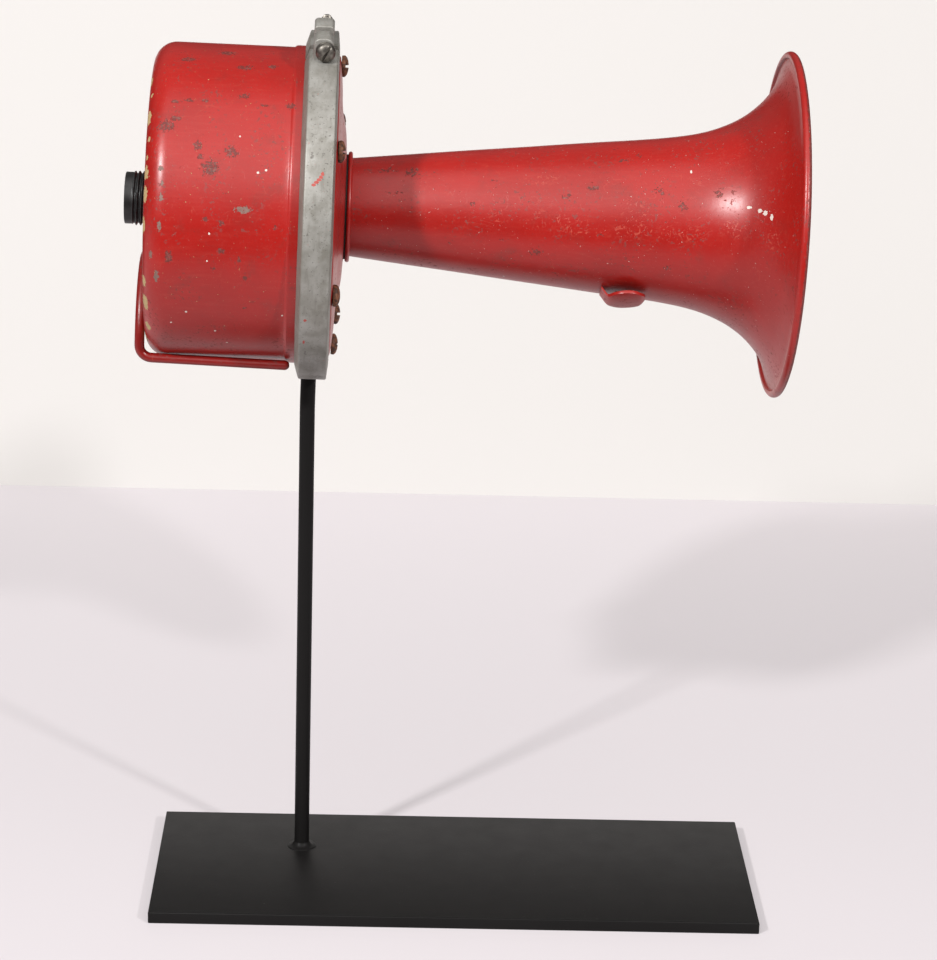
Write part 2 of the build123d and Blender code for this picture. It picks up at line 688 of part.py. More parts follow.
def strap_tab():
    """A tongue of strip below the trumpet's side: its neck is bent up to the trumpet, its round end stands clear."""
    inner = TAB_RADIUS - TAB_THICKNESS
    foot = (TAB_START, TAB_FOOT_RADIUS)
    kink = (TAB_START + TAB_KINK, inner)
    upper = [foot, kink, (TAB_END - TAB_TIP_START, inner + TAB_LIFT), (TAB_END, inner - TAB_TIP_DROP)]
    lower = [(x, radius + TAB_THICKNESS) for x, radius in upper]
    strip = revolved(*Polyline(*upper, *reversed(lower), close=True).edges())
    end_radius = TAB_WIDTH / 2
    neck_length = TAB_END - TAB_START
    plan = Pos(TAB_END - end_radius, 0) * Circle(end_radius)
    plan += Pos(TAB_START + neck_length / 4, -TAB_NECK_SHIFT) * Rectangle(neck_length / 2, TAB_NECK_WIDTH)
    blade = extrude(plan, 2 * TAB_RADIUS)
    return strip & clock(TAB_CLOCK) * blade


# Mechanism


def bridge_screw_places():
    """Two screws in each foot of the bridge, pointing forwards into the clamp ring."""
    seat = clamp_ring_rear() - BRIDGE_WALL
    points = [(y, z) for y in (-BRIDGE_SCREW_Y, BRIDGE_SCREW_Y) for z in (-BRIDGE_SCREW_Z, BRIDGE_SCREW_Z)]
    return [Pos(seat, y, z) * Rot(Y=-90) for y, z in points]


def mechanism_bridge():
    """A bent steel bridge: two feet on the clamp ring, two legs and a cross web that carries the magnet."""
    front = clamp_ring_rear()
    leg_length = front - BRIDGE_REAR
    middle = (front + BRIDGE_REAR) / 2
    web = Pos(BRIDGE_REAR + BRIDGE_WALL / 2, 0, 0) * Box(BRIDGE_WALL, 2 * BRIDGE_Y, BRIDGE_WIDTH)
    foot_plate = Box(BRIDGE_WALL, BRIDGE_FOOT, BRIDGE_WIDTH - BRIDGE_FOOT_INSET)
    body = web
    for side in (-1, 1):
        leg = Pos(middle, side * (BRIDGE_Y - BRIDGE_WALL / 2), 0) * Box(leg_length, BRIDGE_WALL, BRIDGE_WIDTH)
        foot_y = side * (BRIDGE_Y + BRIDGE_FOOT / 2 - BRIDGE_WALL)
        foot = Pos(front - BRIDGE_WALL / 2, foot_y, 0) * foot_plate
        body += leg + foot
    body -= [place * Cylinder(BRIDGE_SCREW_RADIUS + SCREW_GAP, 4 * BRIDGE_WALL) for place in bridge_screw_places()]
    return body - core_screw_holes(CORE_SCREW_RADIUS + SCREW_GAP, 4 * BRIDGE_WALL)


def core_screw_holes(radius, length):
    return [Pos(BRIDGE_REAR, y, 0) * Rot(Y=90) * Cylinder(radius, length) for y in (-CORE_SCREW_Y, CORE_SCREW_Y)]


def bridge_screws():
    length = BRIDGE_WALL + CLAMP_RING_THICKNESS - BRIDGE_SCREW_RADIUS * SHANK_TAPER
    screw = slotted_screw(BRIDGE_SCREW_RADIUS, length, *BRIDGE_SCREW_HEAD)
    return Compound(children=[place * screw for place in bridge_screw_places()])


def magnet_core():
    """An E-shaped stack of laminations whose three legs face the armature."""
    rear = BRIDGE_REAR + BRIDGE_WALL
    depth = CORE_FACE - rear
    window = (CORE_SIZE_Y - 4 * CORE_LEG) / 2
    body = Pos((rear + CORE_FACE) / 2, 0, 0) * Box(depth, CORE_SIZE_Y, CORE_SIZE_Z)
    slot_depth = depth - CORE_YOKE
    slot_y = CORE_LEG + window / 2
    for side in (-1, 1):
        body -= Pos(CORE_FACE - slot_depth / 2, side * slot_y, 0) * Box(slot_depth, window, CORE_SIZE_Z)
    return body - core_screw_holes(CORE_SCREW_RADIUS, 2 * (BRIDGE_WALL + CORE_SCREW_BITE))


def core_screws():
    screw = slotted_screw(CORE_SCREW_RADIUS, BRIDGE_WALL + CORE_SCREW_BITE, *CORE_SCREW_HEAD)
    places = [Pos(BRIDGE_REAR, y, 0) * Rot(Y=-90) for y in (-CORE_SCREW_Y, CORE_SCREW_Y)]
    return Compound(children=[place * screw for place in places])


def coil_frame(length, reach_from, reach_to):
    """A rounded square sleeve round the core's middle leg, from one reach outside it to another."""
    leg_y, leg_z = 2 * CORE_LEG, CORE_SIZE_Z
    outer = RectangleRounded(leg_y + 2 * reach_to, leg_z + 2 * reach_to, reach_to * 0.6)
    inner = Rectangle(leg_y + 2 * reach_from, leg_z + 2 * reach_from)
    return extrude(outer - inner, length)


def coil_rear():
    return CORE_FACE - BOBBIN_SETBACK - BOBBIN_LENGTH


def coil_bobbin():
    """A moulded bobbin: a sleeve with a flange at each end."""
    sleeve = coil_frame(BOBBIN_LENGTH, BOBBIN_GAP, BOBBIN_GAP + BOBBIN_WALL)
    flange = coil_frame(BOBBIN_WALL, BOBBIN_GAP, COIL_REACH)
    body = sleeve + flange + Pos(0, 0, BOBBIN_LENGTH - BOBBIN_WALL) * flange
    return along_coil(body)


def along_coil(shape):
    """Lays a coil part, built along +Z with its width along X, along the horn's axis."""
    return Pos(coil_rear(), 0, 0) * Rot(Y=90) * Rot(Z=90) * shape


def coil_winding():
    length = BOBBIN_LENGTH - 2 * BOBBIN_WALL
    winding = coil_frame(length, BOBBIN_GAP + BOBBIN_WALL, COIL_REACH - WINDING_INSET)
    return along_coil(Pos(0, 0, BOBBIN_WALL) * winding)


def armature_rear():
    return CORE_FACE + ARMATURE_GAP


def armature():
    """The iron bar that the magnet pulls, with a hole for its stud."""
    middle = armature_rear() + ARMATURE_THICKNESS / 2
    body = Pos(middle, 0, 0) * Box(ARMATURE_THICKNESS, CORE_SIZE_Y, CORE_SIZE_Z)
    body = fillet(body.edges().filter_by(Axis.X), ARMATURE_CORNER)
    return body - along_x(Cylinder(STUD_RADIUS + TOUCH, 2 * ARMATURE_THICKNESS), middle)


def armature_stud():
    """The stud that ties the armature to the diaphragm, with a shoulder that spaces them."""
    rear = armature_rear()
    front = DIAPHRAGM_FRONT + STUD_REACH
    shoulder_from = rear + ARMATURE_THICKNESS
    shoulder_to = DIAPHRAGM_FRONT - DIAPHRAGM_THICKNESS - WASHER_THICKNESS
    return ring(rear, front, 0, STUD_RADIUS) + ring(shoulder_from, shoulder_to, 0, STUD_SHOULDER)


def diaphragm_washers():
    """Two washers that spread the stud's pull over the middle of the diaphragm."""
    rear = DIAPHRAGM_FRONT - DIAPHRAGM_THICKNESS
    starts = (rear - WASHER_THICKNESS, DIAPHRAGM_FRONT)
    inner = STUD_RADIUS + TOUCH
    return Compound(children=[ring(start, start + WASHER_THICKNESS, inner, WASHER_RADIUS) for start in starts])


def stud_nut():
    return along_x(hex_nut(NUT_WIDTH, NUT_THICKNESS, STUD_RADIUS + TOUCH), DIAPHRAGM_FRONT + WASHER_THICKNESS)


def striker_block():
    """A fibre block on the armature's lower edge that pushes the contact leaf back."""
    rear = LEAF_FRONT + STRIKER_GAP
    middle = armature_rear()
    front = middle + ARMATURE_THICKNESS
    top = LEAF_TIP + STRIKER_REACH
    block = Pos((rear + front) / 2, 0, top / 2) * Box(front - rear, STRIKER_WIDTH, top)
    block = clock(TONE_SCREW_CLOCK) * block
    block -= Box(4 * CORE_SIZE_Y, 2 * top, CORE_SIZE_Z)
    core_room = Box(middle - rear, 2 * top, CORE_SIZE_Z + 2 * STRIKER_CLEARANCE)
    return block - Pos((rear + middle) / 2, 0, 0) * core_room


# Contacts, built at the top of the horn and turned to the tone screw's clock angle


def contact_bracket():
    """Two legs on the clamp ring and a cross plate that holds the contact leaf's root."""
    front = clamp_ring_rear()
    plate_rear = LEAF_FRONT - BRACKET_DEPTH
    middle = (front + plate_rear) / 2
    height = BRACKET_HIGH - BRACKET_LOW
    plate = Box(BRACKET_DEPTH, BRACKET_WIDTH, height)
    body = Pos(LEAF_FRONT - BRACKET_DEPTH / 2, 0, BRACKET_LOW + height / 2) * plate
    leg = Box(front - plate_rear, *BRACKET_LEG)
    for side in (-1, 1):
        body += Pos(middle, side * BRACKET_LEG_Y, BRACKET_LEG_HEIGHT) * leg
    return clock(TONE_SCREW_CLOCK) * body


def contact_carriage():
    """The adjustable plate that carries the fixed contact; the tone screw holds its outer end."""
    middle = CARRIAGE_FRONT - CARRIAGE_THICKNESS / 2
    plate = Pos(middle, 0, CARRIAGE_HEIGHT) * Box(CARRIAGE_THICKNESS, CARRIAGE_WIDTH, CARRIAGE_LENGTH)
    plate = fillet(plate.edges().filter_by(Axis.X), 2.0)
    return clock(TONE_SCREW_CLOCK) * plate


def contact_button(x_from, x_to):
    button = Pos((x_from + x_to) / 2, 0, CONTACT_HEIGHT) * Rot(Y=90) * Cylinder(CONTACT_RADIUS, x_to - x_from)
    return clock(TONE_SCREW_CLOCK) * chamfer(button.edges().filter_by(GeomType.CIRCLE), CONTACT_CHAMFER)


def fixed_contact():
    carriage_rear = CARRIAGE_FRONT - CARRIAGE_THICKNESS
    return contact_button(LEAF_FRONT + CONTACT_THICKNESS + CONTACT_GAP, carriage_rear)


def moving_contact():
    return contact_button(LEAF_FRONT, LEAF_FRONT + CONTACT_THICKNESS)


def contact_leaf():
    """A thin spring strip from its root to just past the striker block."""
    length = LEAF_ROOT - LEAF_TIP
    middle = LEAF_FRONT - LEAF_THICKNESS / 2
    strip = Pos(middle, 0, LEAF_TIP + length / 2) * Box(LEAF_THICKNESS, LEAF_WIDTH, length)
    return clock(TONE_SCREW_CLOCK) * strip


# Electrical pieces on the rear of the bridge


def condenser_place():
    return Pos(BRIDGE_REAR - CAN_RADIUS - CAN_GAP, 0, CAN_HEIGHT) * Rot(X=90)


def condenser():
    """A round paper condenser in a metal can, lying across the top of the bridge."""
    return condenser_place() * fillet(Cylinder(CAN_RADIUS, CAN_LENGTH).edges(), CAN_EDGE)


def condenser_clip():
    """A strap round the can with a foot on the bridge's web."""
    room = condenser_place() * Cylinder(CAN_RADIUS + TOUCH, CAN_LENGTH)
    loop = condenser_place() * Cylinder(CAN_RADIUS + CLIP_WALL, CLIP_WIDTH)
    foot = Pos(BRIDGE_REAR - CLIP_FOOT / 2, 0, CLIP_FOOT_HEIGHT) * Box(CLIP_FOOT, CLIP_WIDTH, CLIP_FOOT_LENGTH)
    return loop + foot - room


def terminal_block():
    """A moulded block with three terminal recesses, on the web's rear face."""
    depth, width, height = TERMINAL_SIZE
    rear = BRIDGE_REAR - depth
    block = Pos(BRIDGE_REAR - depth / 2, 0, TERMINAL_Z) * Box(depth, width, height)
    block = fillet(block.edges().filter_by(Axis.X), 1.5)
    seat = terminal_seat()
    recesses = [Pos(rear, y, TERMINAL_Z) * Box(*TERMINAL_RECESS) for y in TERMINAL_Y]
    hole = Rot(Y=90) * Cylinder(TERMINAL_SCREW_RADIUS, 2 * TERMINAL_SCREW_LENGTH + TOUCH)
    holes = [Pos(seat, y, TERMINAL_Z) * hole for y in TERMINAL_Y]
    return block - recesses - holes


def terminal_seat():
    """Where the terminal screws' heads sit, at the bottom of their recesses."""
    return BRIDGE_REAR - TERMINAL_SIZE[0] + TERMINAL_RECESS[0] / 2


def terminal_screws():
    screw = slotted_screw(TERMINAL_SCREW_RADIUS, TERMINAL_SCREW_LENGTH, *TERMINAL_SCREW_HEAD)
    return Compound(children=[Pos(terminal_seat(), y, TERMINAL_Z) * Rot(Y=-90) * screw for y in TERMINAL_Y])


def lead(points):
    """An insulated wire along straight runs and round bends."""
    path = FilletPolyline(*points, radius=LEAD_BEND)
    section = Plane(origin=points[0], z_dir=path % 0) * Circle(LEAD_RADIUS)
    return sweep(section, path=path)


def terminal_entry(y):
    """Where a lead enters the underside of the terminal block."""
    return BRIDGE_REAR - TERMINAL_SIZE[0] / 2, y, TERMINAL_Z - TERMINAL_SIZE[2] / 2


def coil_lead():
    """From the coil's lower side, under the web and up to the near terminal."""
    start_x = coil_rear() + BOBBIN_LENGTH / 2
    low = -(CORE_SIZE_Z / 2 + COIL_REACH - WINDING_INSET)
    end_x, end_y, end_z = terminal_entry(TERMINAL_Y[0])
    drop = end_z - LEAD_DROP
    start = (start_x, LEAD_START_Y)
    return lead([(*start, low), (*start, drop), (end_x, end_y, drop), (end_x, end_y, end_z)])


def contact_lead():
    """From the rear of the contact bracket to the far terminal."""
    root = clock(TONE_SCREW_CLOCK) * Pos(LEAF_FRONT - BRACKET_DEPTH, 0, LEAD_ROOT_HEIGHT)
    x, y, z = root.position
    end_x, end_y, end_z = terminal_entry(TERMINAL_Y[2])
    return lead([(x, y, z), (x - LEAD_BACK, y, z), (end_x, end_y, z + LEAD_RISE), (end_x, end_y, end_z)])


STAND_PARTS = [base_plate, stand_rod, rod_weld]

HORN_PARTS = [
    clamp_band,
    clamp_screw,
    clamp_washer,
    drum_housing,
    conduit_nipple,
    nipple_boss,
    nipple_locknut,
    wire_bail,
    housing_gasket,
    front_plate,
    plate_screws,
    tone_screw,
    diaphragm,
    diaphragm_gasket_front,
    diaphragm_gasket_rear,
    diaphragm_clamp_ring,
    trumpet,
    rim_wire,
    trumpet_collar,
    throat_gasket,
    collar_screws,
    strap_tab,
    mechanism_bridge,
    bridge_screws,
    magnet_core,
    core_screws,
    coil_bobbin,
    coil_winding,
    armature,
    armature_stud,
    diaphragm_washers,
    stud_nut,
    striker_block,
    contact_bracket,
    contact_carriage,
    fixed_contact,
    moving_contact,
    contact_leaf,
    condenser,
    condenser_clip,
    terminal_block,
    terminal_screws,
    coil_lead,
    contact_lead,
]

os.makedirs("parts", exist_ok=True)
for make in STAND_PARTS:
    export_step(make(), f"parts/{make.__name__}.step")
for make in HORN_PARTS:
    export_step(HORN_PLACE * make(), f"parts/{make.__name__}.step")
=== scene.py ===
import json
import math

import bmesh
import bpy
from mathutils import Matrix, Vector, noise


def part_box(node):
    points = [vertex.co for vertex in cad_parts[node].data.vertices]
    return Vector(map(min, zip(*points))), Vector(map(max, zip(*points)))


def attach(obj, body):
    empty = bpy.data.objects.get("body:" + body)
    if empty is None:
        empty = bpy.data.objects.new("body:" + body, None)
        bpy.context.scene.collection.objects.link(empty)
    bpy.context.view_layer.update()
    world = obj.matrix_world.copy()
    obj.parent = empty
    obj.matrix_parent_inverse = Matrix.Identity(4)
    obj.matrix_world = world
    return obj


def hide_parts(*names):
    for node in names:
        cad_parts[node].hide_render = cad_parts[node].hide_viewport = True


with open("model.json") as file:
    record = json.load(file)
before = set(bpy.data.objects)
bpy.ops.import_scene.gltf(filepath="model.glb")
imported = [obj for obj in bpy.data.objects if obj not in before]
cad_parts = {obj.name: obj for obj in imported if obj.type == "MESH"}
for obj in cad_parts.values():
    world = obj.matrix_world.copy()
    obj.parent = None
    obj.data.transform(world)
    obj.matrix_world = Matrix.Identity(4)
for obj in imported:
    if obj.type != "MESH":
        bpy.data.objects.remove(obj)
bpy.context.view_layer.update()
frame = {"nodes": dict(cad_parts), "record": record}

# Electric alarm horn on a display stand, in metres, in the row frame.
# The horn's own frame has +X along its axis towards the mouth and its origin at the clamp band.
# Clock angles, in degrees, run round that axis from the top of the horn towards -Y.

MM = 0.001
TURN_STEPS = 288

# Camera and surroundings
CAMERA_PLACE = (-30.4 * MM, -1249.2 * MM, 568.3 * MM)
CAMERA_YAW = 1.481
CAMERA_DIP = 17.307
CAMERA_ROLL = 1.667
CAMERA_LENS = 118.455
WALL_Y = 544 * MM
WALL_LEFT = -330 * MM
WALL_RIGHT = 360 * MM
WALL_TOP = 345 * MM
STAGE_SIDE = 3.0
STAGE_FRONT = -0.5
LIGHT_TARGET = (-0.02, 0.0, 0.26)
LIGHT_SIZE = 0.12
LEFT_LIGHT = (-40.1, 32.0, 1.9, 36.0)
RIGHT_LIGHT = (41.0, 28.7, 2.4, 34.0)
FRONT_GLOW_ELEVATION = 55.0
FRONT_GLOW_SPREAD = (50.0, 24.0)
FRONT_GLOW = 1.5
CEILING_RISE = (0.16, 0.5)
CEILING_GLOW = 0.22
ROOM_GLOW = 0.06

# Stand
ROD_RADIUS = 3.175 * MM
ROD_SEAT_X = -3.1 * MM
ROD_SEAT_DEPTH = 1.8 * MM
ROD_BEND_RADIUS = 300 * MM
ROD_BEND_DROP = 14 * MM
WELD_RADIUS = 7.0 * MM
WELD_HEIGHT = 2.6 * MM
WELD_SLOPE = [
    (0.0, 0.0), (0.0, 1.0), (0.10, 0.72), (0.24, 0.48), (0.42, 0.30), (0.62, 0.19), (0.82, 0.13),
    (0.96, 0.08), (1.0, 0.0),
]
BASE_EDGE = 0.5 * MM

# Drum
BORE_TO_BAND = 68 * MM
DRUM_RADIUS = 63.9 * MM
DRUM_REAR = -69.7 * MM
DRUM_CORNER = 8.9 * MM
DRUM_WALL = 1.2 * MM
DRUM_LIP_RADIUS = 64.6 * MM
DRUM_LIP_START = -13.6 * MM
DRUM_LIP_RISE_MM = [(0.35, 0.12), (0.9, 0.62), (1.4, 0.7)]
DRUM_LIP_CORNER = 0.5 * MM
FLANGE_RADIUS = 67.6 * MM
FLANGE_FRONT = -1.5 * MM
NIPPLE_HOLE = 11.2 * MM

# Conduit nipple
NIPPLE_RADIUS = 11.1 * MM
NIPPLE_PITCH = 1.814 * MM
NIPPLE_DEPTH = 1.0 * MM
NIPPLE_REAR = -80.3 * MM
NIPPLE_FRONT = -56.0 * MM
NIPPLE_LEAD = 3.0 * MM
NIPPLE_LEAD_DEPTH = 0.55
NIPPLE_CHAMFER = 0.5 * MM
NIPPLE_BORE_CHAMFER = 0.4 * MM
NIPPLE_BORE = 7.9 * MM

# Wire bail
BAIL_RADIUS = 2.0 * MM
BAIL_REACH = 65.85 * MM
BAIL_TIP_REACH = 66.9 * MM
BAIL_CLOCK = 26.0
BAIL_TIP = -12.8 * MM
BAIL_REAR = -71.65 * MM
BAIL_BEND = 5.0 * MM
BAIL_EYE_Z = -53.0 * MM

# Clamp band
BAND_RADIUS = 71.06 * MM
BAND_REAR = -7.2 * MM
BAND_FRONT = 4.1 * MM
BAND_REAR_FOOT = -9.0 * MM
BAND_FRONT_FOOT = 4.7 * MM
BAND_FOOT_RADIUS = 65.3 * MM
BAND_INNER = 64.9 * MM
BAND_FRONT_INNER = 61.9 * MM
GROOVE_RADIUS = 68.2 * MM
GROOVE_REAR = -2.85 * MM
GROOVE_REAR_MOUTH = -5.3 * MM
GROOVE_PLAY = 0.1 * MM
GROOVE_FRONT_MOUTH = 2.1 * MM
BAND_LIP = 0.2 * MM
BAND_EDGE = 0.7 * MM
BAND_GAP = 3.5 * MM
BAND_GAP_CLOCK = 15.9
EAR_WIDTH = 8.0 * MM
EAR_THICKNESS = 8.3 * MM
EAR_TOP = 79.4 * MM
EAR_X = -1.7 * MM
HEAD_EAR_CORNER = 3.0 * MM
FAR_EAR_CORNER = 1.6 * MM
EAR_EDGE = 0.55 * MM
CLAMP_SCREW_RADIUS = 2.4 * MM
CLAMP_SCREW_X = -0.9 * MM
CLAMP_SCREW_HEIGHT = 74.4 * MM
CLAMP_SCREW_LENGTH = 31.2 * MM
CLAMP_SCREW_PITCH = 0.794 * MM
CLAMP_SLOT_TURN = 62
CLAMP_HOLE_LENGTH = 60 * MM
CLAMP_HEAD_RADIUS = 3.95 * MM
CLAMP_HEAD_HEIGHT = 3.2 * MM
CLAMP_WASHER_RADIUS = 3.95 * MM
CLAMP_WASHER_THICKNESS = 0.9 * MM

# Front plate and its screws
PLATE_WALL = 1.4 * MM
PLATE_FLANGE_FRONT = 1.1 * MM
PLATE_SHOULDER = 61.4 * MM
PLATE_FACE_MM = [
    (4.2, 61.4), (5.0, 61.0), (5.35, 60.0), (6.4, 50.0), (7.0, 39.0), (8.55, 31.0), (9.2, 22.0),
]
PLATE_HOLE = 10.0 * MM
PLATE_CENTRE_X = 9.2 * MM
SCREW_HOLE = 2.15 * MM
SCREW_FLAT = 4.7 * MM
SCREW_CIRCLE = 57.2 * MM
SCREW_CLOCK = -4.4
SCREW_COUNT = 6
SCREW_RADIUS = 2.08 * MM
SCREW_SEAT_X = 5.65 * MM
SCREW_LENGTH = 10.4 * MM
SCREW_PITCH = 0.8 * MM
SCREW_HOLE_LENGTH = 10 * MM
SCREW_HEAD_RADIUS = 4.4 * MM
SCREW_HEAD_HEIGHT = 2.9 * MM
SLOT_AIM = 77.6
SLOT_TURNS = (0.0, 6.0, 52.0, 9.0, 35.0, 20.0)
TONE_SCREW_CLOCK = 205.6
TONE_SCREW_SEAT_X = 6.3 * MM
TONE_SCREW_LENGTH = 18.3 * MM
TONE_SCREW_PITCH = 0.794 * MM

# Trumpet and its collar
TRUMPET_WALL = 1.0 * MM
COLLAR_REAR = 9.9 * MM
COLLAR_FRONT = 11.7 * MM
COLLAR_RADIUS = 22.6 * MM
COLLAR_SPIGOT = 17.4 * MM
COLLAR_SPIGOT_END = 17.7 * MM
GASKET_RADIUS = 21.4 * MM
TRUMPET_FOOT_RADIUS = 20.1 * MM
CONE_END = (112.0 * MM, 30.8 * MM)
FLARE_MM = [
    (140.0, 33.8), (155.0, 36.6), (167.0, 41.3), (176.0, 47.4), (183.0, 55.2), (187.0, 63.6),
    (188.2, 68.2),
]
BEAD_X = 188.75 * MM
BEAD_CENTRE_RADIUS = 69.3 * MM
BEAD_RADIUS = 1.75 * MM
TAB_PROFILE_MM = [(114.6, 31.1), (118.8, 35.6), (130.1, 35.9), (132.6, 34.6)]
TAB_CLOCK = 142.0
TAB_END = 132.6 * MM
TAB_HALF_WIDTH = 7.5 * MM
TAB_LEAST_HALF_WIDTH = 0.8 * MM
TAB_NECK_END = 123.6 * MM
TAB_NECK_LOWER = 8.0 * MM
TAB_NECK_UPPER = 1.0 * MM
TAB_THICKNESS = 1.2 * MM
TAB_EDGE = 0.3 * MM

# Wear, as (x in mm, clock, reach along x in mm, reach round it in mm)
DRUM_SPOTS = [
    (-61.8, 51, 4.5, 3.4), (-58.1, 48, 3.0, 1.6), (-58.9, 41, 2.6, 1.2), (-53.5, 40, 2.4, 1.3),
    (-47.3, 40, 2.0, 1.2), (-55.0, 17, 4.6, 2.6), (-39.5, 10, 5.0, 3.0), (-32.6, 21, 4.5, 2.5),
    (-21.5, 20, 2.2, 2.0), (-49.0, 58, 2.4, 2.6), (-48.0, 62, 1.8, 1.8), (-13.6, 41, 3.2, 2.2),
    (-23.8, 41, 2.4, 1.0), (-31.8, 37, 3.2, 2.0), (-59.1, 98, 2.2, 3.8), (-41.6, 102, 1.6, 1.3),
    (-38.9, 85, 1.6, 1.6), (-45.1, 84, 1.8, 1.4), (-31.5, 98, 1.3, 1.5), (-17.9, 86, 1.4, 1.3),
    (-29.0, 105, 1.8, 1.3), (-29.2, 118, 1.1, 1.1), (-38.6, 95, 2.4, 1.8), (-44.0, 66, 5.0, 4.0),
    (-36.0, 60, 4.0, 3.0),
]
DRUM_CHIPS = [
    (-62.9, 67, 1.3, 1.6), (-62.3, 72, 1.0, 1.6), (-62.5, 77, 1.1, 2.2), (-62.9, 87, 1.3, 2.6),
    (-63.8, 106, 1.4, 3.6), (-30.6, 80, 4.2, 1.9), (-66.0, 98, 1.0, 2.2),
]
DRUM_CREAM = [
    (-68.4, 35, 1.0, 1.2), (-68.9, 45, 1.2, 4.0), (-68.3, 55, 0.9, 1.4), (-68.8, 62, 0.9, 1.2),
    (-68.9, 68, 1.5, 3.2), (-69.1, 76, 1.6, 3.6), (-69.3, 88, 1.0, 4.0), (-68.9, 111, 1.3, 3.0),
    (-68.4, 121, 1.6, 4.6), (-67.6, 134, 1.7, 3.0), (-69.2, 25, 0.8, 3.0), (-69.2, 150, 1.4, 5.0),
    (-69.4, 200, 1.2, 6.0), (-69.3, 262, 1.3, 5.0), (-69.2, 318, 1.1, 5.0),
]
DRUM_DOTS = [
    (-25.3, 67, 0.6, 0.6), (-22.2, 66, 0.6, 0.6), (-32.9, 54, 0.4, 0.5), (-43.4, 89, 0.5, 0.6),
    (-44.0, 99, 0.4, 0.5), (-52.0, 121, 0.6, 0.6), (-14.1, 121, 0.5, 0.5), (-40.6, 131, 0.6, 0.5),
    (-58.0, 127, 0.5, 0.5), (-36.0, 139, 0.5, 0.5),
]
TRUMPET_SPOTS = [
    (25.8, 32, 6.0, 2.5), (36.0, 36, 5.0, 3.5), (68.5, 48, 2.4, 0.9), (135.0, 57, 3.6, 2.2),
    (144.0, 68, 3.0, 3.2), (108.1, 55, 4.0, 1.8), (86.4, 110, 4.4, 3.2), (139.8, 112, 3.2, 2.0),
    (126.9, 25, 1.6, 3.0), (120.2, 30, 4.0, 1.4), (51.6, 110, 0.9, 0.9), (72.5, 101, 1.8, 0.7),
    (112.0, 91, 2.2, 1.3), (98.0, 62, 3.4, 1.6), (158.0, 60, 3.0, 3.0), (60.0, 70, 2.2, 1.2),
    (30.0, 60, 5.0, 1.0), (62.0, 215, 4.0, 2.5), (118.0, 260, 4.0, 3.0), (90.0, 305, 3.5, 2.0),
]
TRUMPET_CHIPS = [
    (169.4, 68.8, 3.6, 0.7), (173.4, 70.8, 1.7, 0.9), (175.6, 72.0, 1.1, 1.2), (177.9, 74.2, 0.7, 1.6),
    (147.4, 43, 0.5, 1.0), (128.1, 144, 0.6, 0.5), (75.0, 149, 0.5, 0.4),
]
TRUMPET_SCRATCHED = [
    (71.4, 77, 5.0, 6.0), (88.0, 47, 10.0, 3.0), (95.5, 83, 14.0, 7.0), (103.7, 88, 12.0, 4.0),
    (125.8, 76, 7.0, 9.0), (124.6, 87, 14.0, 4.0), (135.5, 86, 14.0, 4.0), (148.4, 86, 8.0, 4.0),
    (165.0, 80, 12.0, 5.0), (179.0, 84, 5.0, 7.0), (60.0, 265, 14.0, 8.0), (130.0, 300, 14.0, 8.0),
]
BAND_STAINS = [
    (-4.7, 41, 1.4, 0.7), (-5.3, 87, 0.7, 1.4), (2.9, 98, 0.6, 1.2), (-1.0, 22, 5.0, 3.0),
    (0.5, 155, 4.5, 5.0), (-4.5, 62, 1.0, 3.0), (3.6, 60, 0.7, 4.0), (-4.4, 133, 0.8, 3.0),
    (-1.0, 205, 4.0, 5.0), (-1.0, 300, 4.0, 5.0),
]
BAND_SMEAR = [
    (-3.4, 71.2, 1.2, 0.7), (-2.5, 70.4, 1.2, 0.7), (-1.6, 69.6, 1.1, 0.8), (-0.8, 68.7, 0.9, 0.9),
    (-0.2, 67.7, 0.8, 0.9), (-5.0, 117, 0.8, 0.9), (-5.2, 127, 0.6, 1.3),
]

# Colours
RED = (0.30, 0.0065, 0.004)
DEEP_RED = (0.20, 0.0065, 0.0042)
# Darker red for the bail wire: painted shade for the wire lying under the drum, which has the drum's own
# paint.
BAIL_SHADED_RED = (0.17, 0.004, 0.003)
RUST = (0.03, 0.015, 0.011)
BARE_GREY = (0.13, 0.08, 0.065)
CREAM = (0.46, 0.34, 0.16)
PALE = (0.55, 0.47, 0.42)
FLOOR_LOOK = ((0.36, 0.335, 0.345), 0.82)
WALL_LOOK = ((0.45, 0.435, 0.42), 0.485)
WARM_WHITE = (1.0, 0.985, 0.97)

# Looks of the plain metals, as colour, darker colour, roughness and metallic share
PLAIN_LOOKS = {
    "black_pipe": ((0.03, 0.03, 0.03), (0.012, 0.012, 0.012), 0.35, 0.3),
    "gasket_rubber": ((0.03, 0.02, 0.016), (0.012, 0.01, 0.008), 0.7, 0.0),
    "plated_steel": ((0.42, 0.41, 0.38), (0.25, 0.24, 0.22), 0.35, 0.9),
    "spring_steel": ((0.45, 0.45, 0.44), (0.3, 0.3, 0.3), 0.25, 1.0),
    "moulding": ((0.05, 0.024, 0.014), (0.02, 0.01, 0.007), 0.3, 0.0),
    "fibre": ((0.3, 0.07, 0.04), (0.2, 0.04, 0.02), 0.6, 0.0),
    "contact_silver": ((0.75, 0.74, 0.7), (0.5, 0.48, 0.44), 0.25, 1.0),
    "condenser_can": ((0.6, 0.6, 0.58), (0.42, 0.42, 0.4), 0.3, 1.0),
    "brass": ((0.65, 0.42, 0.14), (0.35, 0.2, 0.06), 0.3, 1.0),
}

